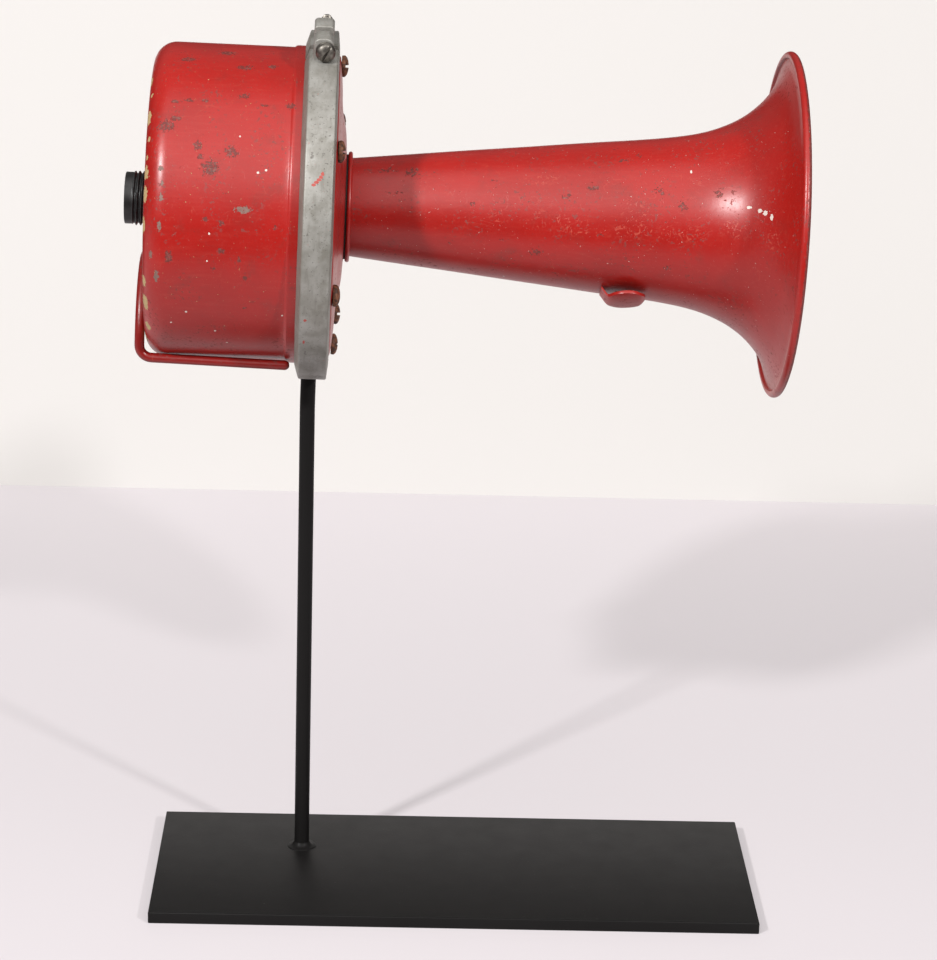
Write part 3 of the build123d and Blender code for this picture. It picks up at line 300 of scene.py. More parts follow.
# Looks of the ridged materials, as dark, light, pitch, direction, roughness and metallic share
STRIPED_LOOKS = {
    "soft_iron": ((0.05, 0.045, 0.04), (0.16, 0.15, 0.14), 0.2 * MM, "Z", 0.5, 0.6),
    "copper_wire": ((0.18, 0.04, 0.012), (0.55, 0.2, 0.08), 0.25 * MM, "X", 0.3, 0.8),
    "lead_insulation": ((0.01, 0.01, 0.01), (0.05, 0.045, 0.04), 0.3 * MM, "DIAGONAL", 0.7, 0.0),
}


def horn_frame(record):
    """The horn's own frame in the row frame, from the record's mount in the conduit nipple."""
    bore = next(mount for mount in record["mounts"] if mount["name"] == "conduit_bore")
    along = -Vector(bore["axis"]).normalized()
    across = Vector((0, 0, 1)).cross(along).normalized()
    place = Matrix((along, across, along.cross(across))).transposed().to_4x4()
    place.translation = Vector(bore["pos_m"]) + BORE_TO_BAND * along
    return place


HORN = horn_frame(frame["record"])
ALONG = Matrix.Rotation(math.pi / 2, 4, "Y")
ACROSS = Matrix.Rotation(math.pi / 2, 4, "X")
SCREW_CLOCKS = [SCREW_CLOCK + number * 360 / SCREW_COUNT for number in range(SCREW_COUNT)]


# Shapes


def turned(x, clock, radius):
    """The point at an x, a clock angle and a radius in the horn's frame."""
    angle = math.radians(clock)
    return Vector((x, -radius * math.sin(angle), radius * math.cos(angle)))


def arc(centre, radius, start, end, steps=10):
    """Points round a centre in an outline's plane; angles run from its first axis to its second."""
    angles = [math.radians(start + (end - start) * step / steps) for step in range(steps + 1)]
    first, second = centre
    return [(first + radius * math.cos(angle), second + radius * math.sin(angle)) for angle in angles]


def soften(outline, radius, steps=3):
    """A closed outline with a small round on each of its corners."""
    softened = []
    for number, point in enumerate(outline):
        corner = Vector(point)
        before = Vector(outline[number - 1]) - corner
        after = Vector(outline[(number + 1) % len(outline)]) - corner
        reach = min(radius, 0.42 * before.length, 0.42 * after.length)
        start = corner + reach * before.normalized()
        end = corner + reach * after.normalized()
        for step in range(steps + 1):
            share = step / steps
            point = (1 - share) ** 2 * start + 2 * share * (1 - share) * corner + share**2 * end
            softened.append(tuple(point))
    return softened


def curve_through(points, steps=8, start_slope=None):
    """A smooth line through the points, with each stretch divided into steps."""
    vectors = [Vector(point) for point in points]
    slopes = []
    for number, point in enumerate(vectors):
        before = vectors[max(number - 1, 0)]
        after = vectors[min(number + 1, len(vectors) - 1)]
        slopes.append((after - before).normalized())
    if start_slope is not None:
        slopes[0] = Vector(start_slope).normalized()
    line = []
    for number in range(len(vectors) - 1):
        start, end = vectors[number], vectors[number + 1]
        length = (end - start).length
        for step in range(steps):
            t = step / steps
            line.append(
                (2 * t**3 - 3 * t**2 + 1) * start
                + (t**3 - 2 * t**2 + t) * length * slopes[number]
                + (3 * t**2 - 2 * t**3) * end
                + (t**3 - t**2) * length * slopes[number + 1]
            )
    return [tuple(point) for point in line] + [tuple(vectors[-1])]


def bridge(shape, rings, around):
    """Faces between each ring of points and the next one, in so many steps around."""
    for ring, following in zip(rings, rings[1:]):
        for step in range(around):
            after = (step + 1) % len(ring)
            shape.faces.new((ring[step], ring[after], following[after], following[step]))


def lathe(outline, start=0.0, sweep=360.0, steps=TURN_STEPS):
    """A closed outline of (x, radius) points turned about the horn's axis, all the way or by a sweep."""
    shape = bmesh.new()
    whole = sweep >= 360.0
    columns = steps if whole else steps + 1
    clocks = [start + sweep * column / steps for column in range(columns)]
    rings = [[shape.verts.new(turned(x, clock, radius)) for clock in clocks] for x, radius in outline]
    bridge(shape, rings + rings[:1], steps)
    if not whole:
        shape.faces.new([ring[0] for ring in rings])
        shape.faces.new([ring[-1] for ring in rings])
    bmesh.ops.remove_doubles(shape, verts=shape.verts, dist=0.001 * MM)
    bmesh.ops.recalc_face_normals(shape, faces=shape.faces)
    return shape


def block(size, centre):
    """A box of a size, round a centre."""
    shape = bmesh.new()
    bmesh.ops.create_cube(shape, size=1.0)
    bmesh.ops.scale(shape, vec=size, verts=shape.verts)
    bmesh.ops.translate(shape, vec=centre, verts=shape.verts)
    return shape


def bevel(shape, width, segments=3, least_angle=30.0):
    """Rounds every edge of a shape that is sharper than an angle."""
    edges = [edge for edge in shape.edges if edge.calc_face_angle(0.0) > math.radians(least_angle)]
    settings = {"segments": segments, "profile": 0.5, "affect": "EDGES", "clamp_overlap": True}
    bmesh.ops.bevel(shape, geom=edges, offset=width, **settings)
    return shape


def add_rod(shape, radius, length, place):
    """Adds a round rod along a place's Z, to cut a hole with."""
    size = {"radius1": radius, "radius2": radius, "depth": length}
    bmesh.ops.create_cone(shape, cap_ends=True, segments=32, matrix=place, **size)


def roughen(shape, amount, size, seed=0.0):
    """Moves each point of a shape a little way in or out, by smooth noise."""
    shape.normal_update()
    shift = Vector((seed, 2.3 * seed, 3.1 * seed))
    for vert in shape.verts:
        vert.co += vert.normal * amount * noise.noise(vert.co / size + shift)
    return shape


def place_shape(shape, matrix):
    bmesh.ops.transform(shape, matrix=matrix, verts=shape.verts)
    return shape


def linked(name, data):
    """A new object of the scene that holds the data."""
    thing = bpy.data.objects.new(name, data)
    bpy.context.scene.collection.objects.link(thing)
    return thing


def smooth(mesh, crease):
    """Smooth shading, except at edges sharper than the crease angle."""
    mesh.shade_smooth()
    mesh.set_sharp_from_angle(angle=math.radians(crease))


def as_object(name, shape, place=None, crease=35.0):
    """An object made from a shape, in the horn's frame unless a place is given."""
    mesh = bpy.data.meshes.new(name)
    shape.to_mesh(mesh)
    shape.free()
    smooth(mesh, crease)
    piece = linked(name, mesh)
    piece.matrix_world = HORN if place is None else place
    return piece


def combined(piece, other, operation):
    """Piece with other added to it or cut from it; other is used up."""
    modifier = piece.modifiers.new("combine", "BOOLEAN")
    modifier.operation = operation
    modifier.solver = "EXACT"
    modifier.object = other
    bpy.context.view_layer.update()
    done = bpy.data.meshes.new_from_object(piece.evaluated_get(bpy.context.evaluated_depsgraph_get()))
    piece.modifiers.clear()
    piece.data = done
    bpy.data.objects.remove(other)
    return piece


def finish_edges(piece, width, least_angle=35.0, segments=2):
    """Rounds the sharp edges that cutting and joining have left."""
    shape = bmesh.new()
    shape.from_mesh(piece.data)
    bmesh.ops.remove_doubles(shape, verts=shape.verts, dist=0.005 * MM)
    bevel(shape, width, segments, least_angle)
    shape.to_mesh(piece.data)
    shape.free()
    smooth(piece.data, 40)
    return piece


def fit_out(piece, body, material, node):
    """Gives a piece its material, its body and the CAD node that it stands for."""
    piece.data.materials.clear()
    piece.data.materials.append(material)
    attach(piece, body)
    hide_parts(node)
    return piece


# Materials


class Nodes:
    """A short way to write a node tree: each method adds nodes and returns an output."""

    def __init__(self, tree):
        self.tree = tree

    def add(self, kind, inputs=None, **settings):
        node = self.tree.nodes.new(kind)
        for name, value in settings.items():
            setattr(node, name, value)
        for socket, value in (inputs or {}).items():
            self.feed(node.inputs[socket], value)
        return node

    def feed(self, socket, value):
        if isinstance(value, bpy.types.NodeSocket):
            self.tree.links.new(value, socket)
        elif socket.type == "RGBA" and len(value) == 3:
            socket.default_value = (*value, 1.0)
        else:
            socket.default_value = value

    def math(self, operation, first, second=0.0):
        return self.add("ShaderNodeMath", {0: first, 1: second}, operation=operation).outputs[0]

    def vector_math(self, operation, first, second):
        return self.add("ShaderNodeVectorMath", {0: first, 1: second}, operation=operation)

    def step(self, value, low, high, start=0.0, end=1.0):
        """Start below low, end above high and smooth between them; low may be the higher one."""
        inputs = {"Value": value, "From Min": low, "From Max": high, "To Min": start, "To Max": end}
        return self.add("ShaderNodeMapRange", inputs, interpolation_type="SMOOTHSTEP").outputs["Result"]


class Shader(Nodes):
    """The node tree of a material, with patterns placed on the object."""

    def __init__(self, name):
        self.material = bpy.data.materials.new(name)
        self.material.use_nodes = True
        super().__init__(self.material.node_tree)
        self.surface = self.tree.nodes["Principled BSDF"]
        self.place = self.add("ShaderNodeTexCoord").outputs["Object"]

    def set(self, **values):
        for name, value in values.items():
            self.feed(self.surface.inputs[name.replace("_", " ")], value)
        return self.material

    def mapped(self, size, stretch=(1, 1, 1), seed=0.0, turn=(0, 0, 0)):
        """Places in units of a size, stretched along the horn's axes."""
        scale = [1 / (size * each) for each in stretch]
        shift = (seed, 1.7 * seed, 0.6 * seed)
        turned_by = [math.radians(angle) for angle in turn]
        inputs = {"Vector": self.place, "Scale": scale, "Location": shift, "Rotation": turned_by}
        return self.add("ShaderNodeMapping", inputs).outputs["Vector"]

    def noise(self, size, detail=3.0, rough=0.5, warp=0.0, **where):
        inputs = {"Vector": self.mapped(size, **where), "Scale": 1.0, "Detail": detail, "Roughness": rough}
        inputs["Distortion"] = warp
        return self.add("ShaderNodeTexNoise", inputs).outputs["Fac"]

    def between(self, value, low, high):
        """Value's 0 to 1 turned into low to high."""
        inputs = {"Value": value, "To Min": low, "To Max": high}
        return self.add("ShaderNodeMapRange", inputs).outputs["Result"]

    def mix(self, share, first, second):
        node = self.add("ShaderNodeMix", data_type="RGBA")
        self.feed(node.inputs[0], share)
        self.feed(node.inputs[6], first)
        self.feed(node.inputs[7], second)
        return node.outputs[2]

    def tint(self, colour, cover, share, other):
        """A colour with a share of another one over it where the cover is 1."""
        return self.mix(self.product(cover, share), colour, other)

    def product(self, *values):
        result = values[0]
        for value in values[1:]:
            result = self.math("MULTIPLY", result, value)
        return result

    def most(self, *values):
        result = values[0]
        for value in values[1:]:
            result = self.math("MAXIMUM", result, value)
        return result

    def specks(self, size, least, seed=0.0):
        """Small irregular spots: the peaks of a fine noise."""
        return self.step(self.noise(size, detail=1.5, rough=0.6, seed=seed), least, least + 0.03)

    def hairlines(self, size, width, seed=0.0, **where):
        """Thin wandering lines, broken up, such as scratches."""
        field = self.noise(size, detail=1.0, warp=0.3, seed=seed, **where)
        away = self.math("ABSOLUTE", self.math("SUBTRACT", field, 0.5))
        line = self.step(away, width, width * 0.3)
        patches = self.step(self.noise(size * 0.45, detail=4.0, seed=seed + 7.0), 0.5, 0.6)
        return self.product(line, patches)

    def along_horn(self):
        return self.add("ShaderNodeSeparateXYZ", {0: self.place}).outputs["X"]

    def near(self, mark, radius):
        """1 at a mark on a round surface of the horn, and 0 outside its reach."""
        x, clock, along, round_it = mark
        reach = (along * MM, round_it * MM, round_it * MM)
        point = turned(x * MM, clock, radius)
        offset = self.vector_math("SUBTRACT", self.place, point).outputs[0]
        scaled = self.vector_math("MULTIPLY", offset, [1 / each for each in reach]).outputs[0]
        away = self.add("ShaderNodeVectorMath", {0: scaled}, operation="LENGTH").outputs["Value"]
        return self.step(away, 1.25, 0.25)

    def around(self, marks, radius_at):
        """1 at each mark and 0 away from them all."""
        return self.most(*(self.near(mark, radius_at(mark[0] * MM)) for mark in marks))

    def ragged(self, zone, grain, weight, seed):
        """Specks inside a zone: a small weight gives scattered dots, a large one a solid patch."""
        grains = self.noise(grain, detail=3.0, rough=0.6, seed=seed)
        return self.step(self.math("ADD", self.product(zone, weight), grains), 0.70, 0.74)

    def marked(self, marks, radius_at, grain, weight, seed):
        """Ragged specks round each of the marks."""
        return self.ragged(self.around(marks, radius_at), grain, weight, seed)

    def bump(self, height, depth, before=None):
        inputs = {"Height": height, "Distance": depth, "Strength": 1.0}
        if before is not None:
            inputs["Normal"] = before
        return self.add("ShaderNodeBump", inputs).outputs["Normal"]


def drum_surface(x):
    """The drum's radius at an x."""
    rise = DRUM_REAR + DRUM_CORNER - x
    if rise <= 0:
        return DRUM_RADIUS
    return DRUM_RADIUS - DRUM_CORNER + math.sqrt(max(DRUM_CORNER**2 - rise**2, 0.0))


def trumpet_surface(x):
    """The trumpet's outer radius at an x."""
    flare = [(place * MM, radius * MM) for place, radius in FLARE_MM]
    line = [(COLLAR_FRONT, TRUMPET_FOOT_RADIUS), CONE_END, *flare]
    for (x0, r0), (x1, r1) in zip(line, line[1:]):
        if x <= x1:
            return r0 + (r1 - r0) * (x - x0) / (x1 - x0)
    return line[-1][1]


def drum_wear(shader):
    """Rust and dirt, then bare and pale places, on the drum."""
    spots = shader.marked(DRUM_SPOTS, drum_surface, 0.9 * MM, 0.3, 21.0)
    chips = shader.marked(DRUM_CHIPS, drum_surface, 0.8 * MM, 0.34, 22.0)
    cream = shader.marked(DRUM_CREAM, drum_surface, 1.1 * MM, 0.55, 23.0)
    dots = shader.around(DRUM_DOTS, drum_surface)
    return spots, chips, cream, shader.step(dots, 0.35, 0.5)


def trumpet_wear(shader):
    """The same for the trumpet, with the worn edge of its bead."""
    spots = shader.marked(TRUMPET_SPOTS, trumpet_surface, 1.1 * MM, 0.22, 31.0)
    chips = shader.marked(TRUMPET_CHIPS, trumpet_surface, 0.8 * MM, 0.7, 32.0)
    edge = shader.step(shader.along_horn(), BEAD_X + 0.1 * MM, BEAD_X + 1.1 * MM)
    worn = shader.ragged(edge, 2.2 * MM, 0.45, 33.0)
    return shader.most(spots, shader.product(worn, 0.85)), 0.0, 0.0, chips


def plain_wear(shader):
    return 0.0, 0.0, 0.0, 0.0


def red_enamel(name, wear=plain_wear, scratched=None, red=RED):
    """Old glossy red enamel: uneven colour, brown and grey specks, scratches and chips."""
    shader = Shader(name)
    uneven = shader.step(shader.noise(26 * MM, detail=5.0, seed=2.0), 0.35, 0.72)
    colour = shader.tint(red, uneven, 0.4, DEEP_RED)
    grime = shader.step(shader.noise(11 * MM, detail=6.0, rough=0.65, seed=17.0), 0.52, 0.78)
    colour = shader.tint(colour, grime, 0.35, (0.105, 0.022, 0.016))
    streaks = shader.noise(1.1 * MM, detail=3.0, stretch=(10, 1, 1), seed=5.0)
    colour = shader.tint(colour, shader.step(streaks, 0.5, 0.75), 0.22, (0.33, 0.03, 0.02))

    dusty = shader.step(shader.noise(15 * MM, detail=4.0, seed=9.0), 0.44, 0.62)
    freckles = shader.product(shader.specks(1.4 * MM, 0.61, seed=3.0), dusty)
    colour = shader.tint(colour, freckles, 0.5, (0.09, 0.033, 0.026))
    pinholes = shader.specks(0.55 * MM, 0.74, seed=11.0)
    colour = shader.tint(colour, pinholes, 0.4, (0.38, 0.14, 0.11))

    fine = shader.most(
        shader.hairlines(8 * MM, 0.006, seed=1.0, stretch=(1.8, 1, 1)),
        shader.hairlines(5 * MM, 0.008, seed=8.0, stretch=(1, 1, 2)),
    )
    scratches = shader.product(fine, 0.16)
    if scratched is not None:
        zone = shader.around(scratched, trumpet_surface)
        curls = shader.most(
            shader.hairlines(4.2 * MM, 0.028, seed=4.0, stretch=(1, 1.6, 1.6)),
            shader.hairlines(7.5 * MM, 0.014, seed=6.0, stretch=(2.4, 1, 1)),
            shader.hairlines(2.6 * MM, 0.03, seed=19.0),
        )
        scratches = shader.most(scratches, shader.product(curls, zone, 0.5))
    colour = shader.mix(scratches, colour, (0.44, 0.08, 0.045))

    spots, chips, cream, pale = wear(shader)
    shade = shader.noise(1.2 * MM, detail=4.0, seed=6.0)
    rust = shader.mix(shader.step(shade, 0.45, 0.75), RUST, BARE_GREY)
    colour = shader.tint(colour, spots, 0.66, rust)
    colour = shader.mix(chips, colour, shader.mix(shade, (0.10, 0.05, 0.04), (0.22, 0.135, 0.11)))
    colour = shader.mix(cream, colour, shader.mix(shade, CREAM, (0.30, 0.19, 0.09)))
    colour = shader.mix(pale, colour, PALE)

    lost = shader.most(scratches, spots, chips, cream, pale)
    gloss = shader.between(shader.noise(6 * MM, detail=6.0, rough=0.65, seed=14.0), 0.27, 0.41)
    rough = shader.math("ADD", gloss, shader.product(shader.most(lost, freckles), 0.3))
    peel = shader.bump(shader.noise(2.4 * MM, detail=2.0, seed=15.0), 0.025 * MM)
    normal = shader.bump(lost, -0.06 * MM, peel)
    return shader.set(Base_Color=colour, Roughness=rough, Normal=normal, Specular_IOR_Level=0.5)


def band_surface(x):
    return BAND_RADIUS


def band_metal(name):
    """Dull cast metal with stains, fine pits, a smear of red paint and painted shade on its bevelled edges.
    """
    shader = Shader(name)
    mottle = shader.noise(9 * MM, detail=6.0, rough=0.6, seed=1.0)
    colour = shader.mix(shader.step(mottle, 0.3, 0.7), (0.19, 0.18, 0.158), (0.29, 0.28, 0.258))
    run = shader.noise(2.4 * MM, detail=5.0, seed=4.0, stretch=(0.6, 3, 3))
    colour = shader.tint(colour, shader.step(run, 0.5, 0.75), 0.45, (0.14, 0.13, 0.11))
    grime = shader.step(shader.noise(5 * MM, detail=5.0, seed=8.0), 0.55, 0.72)
    colour = shader.tint(colour, grime, 0.45, (0.13, 0.12, 0.095))
    # Both bevelled edges of the band are darkened: painted shade.
    middle, half = (BAND_FRONT + BAND_REAR) / 2, (BAND_FRONT - BAND_REAR) / 2
    off_middle = shader.math("ABSOLUTE", shader.math("SUBTRACT", shader.along_horn(), middle))
    edge = shader.step(off_middle, half - 0.9 * MM, half + 0.3 * MM)
    colour = shader.tint(colour, edge, 0.5, (0.15, 0.14, 0.115))
    pits = shader.specks(0.8 * MM, 0.66, seed=2.0)
    stains = shader.marked(BAND_STAINS, band_surface, 1.0 * MM, 0.26, 5.0)
    colour = shader.tint(colour, shader.most(pits, stains), 0.6, (0.07, 0.06, 0.05))
    smear = shader.marked(BAND_SMEAR, band_surface, 0.9 * MM, 0.5, 6.0)
    colour = shader.tint(colour, smear, 0.85, (0.36, 0.03, 0.02))
    grain = shader.bump(shader.noise(0.9 * MM, detail=4.0, seed=3.0), 0.05 * MM)
    normal = shader.bump(pits, -0.05 * MM, grain)
    rough = shader.between(mottle, 0.42, 0.58)
    return shader.set(Base_Color=colour, Roughness=rough, Metallic=0.3, Normal=normal)


def rusty_steel(name):
    shader = Shader(name)
    patches = shader.noise(1.8 * MM, detail=6.0, seed=2.0)
    colour = shader.mix(shader.step(patches, 0.35, 0.65), (0.05, 0.022, 0.014), (0.20, 0.075, 0.035))
    normal = shader.bump(shader.noise(0.6 * MM, detail=5.0, seed=5.0), 0.06 * MM)
    return shader.set(Base_Color=colour, Roughness=0.62, Metallic=0.25, Normal=normal)


def dark_steel(name):
    shader = Shader(name)
    patches = shader.noise(2.2 * MM, detail=5.0, seed=7.0)
    colour = shader.mix(shader.step(patches, 0.35, 0.7), (0.07, 0.062, 0.055), (0.24, 0.22, 0.19))
    normal = shader.bump(shader.noise(0.7 * MM, detail=4.0, seed=8.0), 0.04 * MM)
    return shader.set(Base_Color=colour, Roughness=0.42, Metallic=0.8, Normal=normal)


def black_coat(name):
    """Satin powder coat with a faint orange peel and a little dust."""
    shader = Shader(name)
    shade = shader.noise(30 * MM, detail=4.0, seed=3.0)
    colour = shader.mix(shade, (0.0058, 0.0053, 0.0052), (0.0086, 0.008, 0.0078))
    dust = shader.product(shader.specks(1.0 * MM, 0.76, seed=1.0), 0.3)
    colour = shader.mix(dust, colour, (0.12, 0.115, 0.11))
    rough = shader.between(shader.noise(12 * MM, detail=5.0, seed=6.0), 0.4, 0.5)
    normal = shader.bump(shader.noise(0.9 * MM, detail=2.0, seed=9.0), 0.025 * MM)
    return shader.set(Base_Color=colour, Roughness=rough, Normal=normal, Specular_IOR_Level=0.1)


def plain_metal(name, colour, darker, rough, metallic, grain=1.0 * MM):
    """A metal with slightly uneven colour and fine grain."""
    shader = Shader(name)
    shade = shader.noise(5 * grain, detail=5.0, seed=2.0)
    mixed = shader.mix(shader.step(shade, 0.3, 0.7), darker, colour)
    normal = shader.bump(shader.noise(grain, detail=4.0, seed=3.0), 0.02 * MM)
    gloss = shader.between(shader.noise(4 * grain, detail=4.0, seed=4.0), rough, rough + 0.15)
    return shader.set(Base_Color=mixed, Roughness=gloss, Metallic=metallic, Normal=normal)


def striped(name, dark, light, pitch, direction, rough, metallic):
    """Fine parallel ridges, such as wound wire, laminations or braid."""
    shader = Shader(name)
    inputs = {"Vector": shader.mapped(pitch), "Scale": 1.0, "Distortion": 0.4}
    ridges = shader.add("ShaderNodeTexWave", inputs, bands_direction=direction).outputs["Fac"]
    colour = shader.mix(ridges, dark, light)
    normal = shader.bump(ridges, 0.1 * MM)
    return shader.set(Base_Color=colour, Roughness=rough, Metallic=metallic, Normal=normal)


def paper(name, colour, glow):
    """The matt, faintly glowing surface of the floor and the wall."""
    shader = Shader(name)
    shade = shader.noise(0.35, detail=2.0, seed=1.0)
    mixed = shader.mix(shader.product(shade, 0.25), colour, [0.93 * each for each in colour])
    return shader.set(Base_Color=mixed, Roughness=0.8, Emission_Color=mixed, Emission_Strength=glow)


# Surroundings


def camera():
    yaw, dip, roll = (math.radians(angle) for angle in (CAMERA_YAW, CAMERA_DIP, CAMERA_ROLL))
    ahead = Vector((math.sin(yaw) * math.cos(dip), math.cos(yaw) * math.cos(dip), -math.sin(dip)))
    level = Vector((math.cos(yaw), -math.sin(yaw), 0))
    upright = level.cross(ahead)
    right = level * math.cos(roll) + upright * math.sin(roll)
    up = upright * math.cos(roll) - level * math.sin(roll)
    data = bpy.data.cameras.new("camera")
    data.lens = CAMERA_LENS
    data.clip_end = 50
    view = linked("camera", data)
    place = Matrix((right, up, -ahead)).transposed().to_4x4()
    place.translation = CAMERA_PLACE
    view.matrix_world = place
    bpy.context.scene.camera = view


def sheet_of_stage(name, corners, material):
    mesh = bpy.data.meshes.new(name)
    mesh.from_pydata(corners, [], [(0, 1, 2, 3)])
    mesh.materials.append(material)
    linked(name, mesh)


def surroundings():
    """A wide floor and a backdrop low enough for the back of the horn to be seen over it."""
    side, front, back = STAGE_SIDE, STAGE_FRONT, WALL_Y
    floor = [(-side, front, 0), (side, front, 0), (side, back, 0), (-side, back, 0)]
    left, right, top = WALL_LEFT, WALL_RIGHT, WALL_TOP
    wall = [(left, back, 0), (right, back, 0), (right, back, top), (left, back, top)]
    sheet_of_stage("floor", floor, paper("floor_paper", *FLOOR_LOOK))
    sheet_of_stage("wall", wall, paper("wall_paper", *WALL_LOOK))


def direction(azimuth, elevation):
    """The way from the horn to a place at an azimuth from the front and an elevation."""
    turn, lift = math.radians(azimuth), math.radians(elevation)
    return Vector((math.sin(turn) * math.cos(lift), -math.cos(turn) * math.cos(lift), math.sin(lift)))


def softbox(name, azimuth, elevation, distance, power):
    """A small square light that faces the horn from in front and above."""
    towards = direction(azimuth, elevation)
    data = bpy.data.lights.new(name, "AREA")
    data.shape = "SQUARE"
    data.size = LIGHT_SIZE
    data.energy = power
    light = linked(name, data)
    light.location = Vector(LIGHT_TARGET) + distance * towards
    light.rotation_euler = towards.to_track_quat("Z", "Y").to_euler()


def room_light():
    """A dim room with a pale ceiling and a large bright diffuser above the front."""
    world = bpy.data.worlds.new("room")
    bpy.context.scene.world = world
    world.use_nodes = True
    nodes = Nodes(world.node_tree)
    facing = nodes.add("ShaderNodeTexCoord").outputs["Generated"]
    height = nodes.add("ShaderNodeSeparateXYZ", {0: facing}).outputs["Z"]
    ceiling = nodes.step(height, *CEILING_RISE, ROOM_GLOW, CEILING_GLOW)
    middle = direction(0, FRONT_GLOW_ELEVATION)
    nearness = nodes.vector_math("DOT_PRODUCT", facing, middle).outputs["Value"]
    edge, core = (math.cos(math.radians(angle)) for angle in FRONT_GLOW_SPREAD)
    front = nodes.step(nearness, edge, core, 0.0, FRONT_GLOW)
    background = nodes.tree.nodes["Background"]
    nodes.feed(background.inputs["Strength"], nodes.math("ADD", ceiling, front))
    nodes.feed(background.inputs["Color"], WARM_WHITE)


# Stand


def base_block(material):
    """The base plate, a flat bar with small bevels."""
    low, high = (Vector(corner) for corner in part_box("base_plate"))
    shape = bevel(block(high - low, (low + high) / 2), BASE_EDGE, 3)
    piece = as_object("base_bar", shape, Matrix.Identity(4))
    return fit_out(piece, "horn_on_stand", material, "base_plate")


def upright(material):
    """The round rod, with the slight bend that meets the tilted horn, and the weld round its foot."""
    corner = HORN @ Vector((ROD_SEAT_X, 0, -BAND_RADIUS - ROD_BEND_DROP))
    tip = HORN @ Vector((ROD_SEAT_X, 0, -BAND_RADIUS + ROD_SEAT_DEPTH))
    top_of_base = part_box("base_plate")[1][2]
    foot = Vector((corner.x, corner.y, top_of_base))
    path = rounded_path([foot, corner, tip], ROD_BEND_RADIUS)
    piece = as_object("upright_rod", rod_along(path, ROD_RADIUS, 48, round_ends=False), Matrix.Identity(4))
    fit_out(piece, "horn_on_stand", material, "stand_rod")
    weld_bead(foot, material)


def weld_bead(foot, material):
    """The run-out weld: a hollow slope from the rod to a wandering edge on the plate."""
    shape = bmesh.new()
    steps = 72
    rings = []
    for share, height in WELD_SLOPE:
        ring = []
        for step in range(steps):
            angle = math.tau * step / steps
            cosine, sine = math.cos(angle), math.sin(angle)
            wander = 0.88 + 0.12 * noise.noise(Vector((1.4 * cosine, 1.4 * sine, 3.7)))
            reach = ROD_RADIUS + share * (WELD_RADIUS * wander - ROD_RADIUS)
            lump = 1.0 - 0.12 * (1 + noise.noise(Vector((3 * cosine, 3 * sine, 4 * share))))
            point = Vector((reach * cosine, reach * sine, height * WELD_HEIGHT * lump))
            ring.append(shape.verts.new(foot + point))
        rings.append(ring)
    bridge(shape, rings + rings[:1], steps)
    bmesh.ops.recalc_face_normals(shape, faces=shape.faces)
    piece = as_object("weld_bead", shape, Matrix.Identity(4), crease=80)
    fit_out(piece, "horn_on_stand", material, "rod_weld")


# Drum and what is on it


def drum_shell(material):
    """The drawn cup: a rounded rear corner, a long side, a wider lip and a flange inside the band."""
    rear, radius, corner, wall = DRUM_REAR, DRUM_RADIUS, DRUM_CORNER, DRUM_WALL
    flange_rear = FLANGE_FRONT - wall
    inner = radius - wall
    outline = [(rear, NIPPLE_HOLE)]
    face = radius - corner - NIPPLE_HOLE
    outline += [(rear, NIPPLE_HOLE + face * share / 12) for share in range(1, 12)]
    outline += arc((rear + corner, radius - corner), corner, 180, 90, 14)
    side = DRUM_LIP_START - (rear + corner)
    outline += [(rear + corner + side * share / 18, radius) for share in range(1, 18)]
    outline.append((DRUM_LIP_START, radius))
    outline += [(DRUM_LIP_START + x * MM, radius + rise * MM) for x, rise in DRUM_LIP_RISE_MM]
    outline.append((flange_rear - DRUM_LIP_CORNER, DRUM_LIP_RADIUS))
    outline.append((flange_rear, DRUM_LIP_RADIUS + DRUM_LIP_CORNER))
    outline += [(flange_rear, FLANGE_RADIUS), (FLANGE_FRONT, FLANGE_RADIUS), (FLANGE_FRONT, inner)]
    outline += arc((rear + corner, radius - corner), corner - wall, 90, 180, 10)
    outline += [(rear + wall, NIPPLE_HOLE)]
    shape = roughen(lathe(outline), 0.10 * MM, 24 * MM, seed=3.0)
    piece = as_object("drum_shell", shape, crease=40)
    return fit_out(piece, "horn_on_stand", material, "drum_housing")


def thread_depth(phase):
    """How deep the thread is at a phase along one pitch: a flat crest, a flank, a root and a flank."""
    if phase < 0.2:
        return 0.0
    if phase < 0.5:
        return (phase - 0.2) / 0.3
    if phase < 0.7:
        return 1.0
    return (1.0 - phase) / 0.3


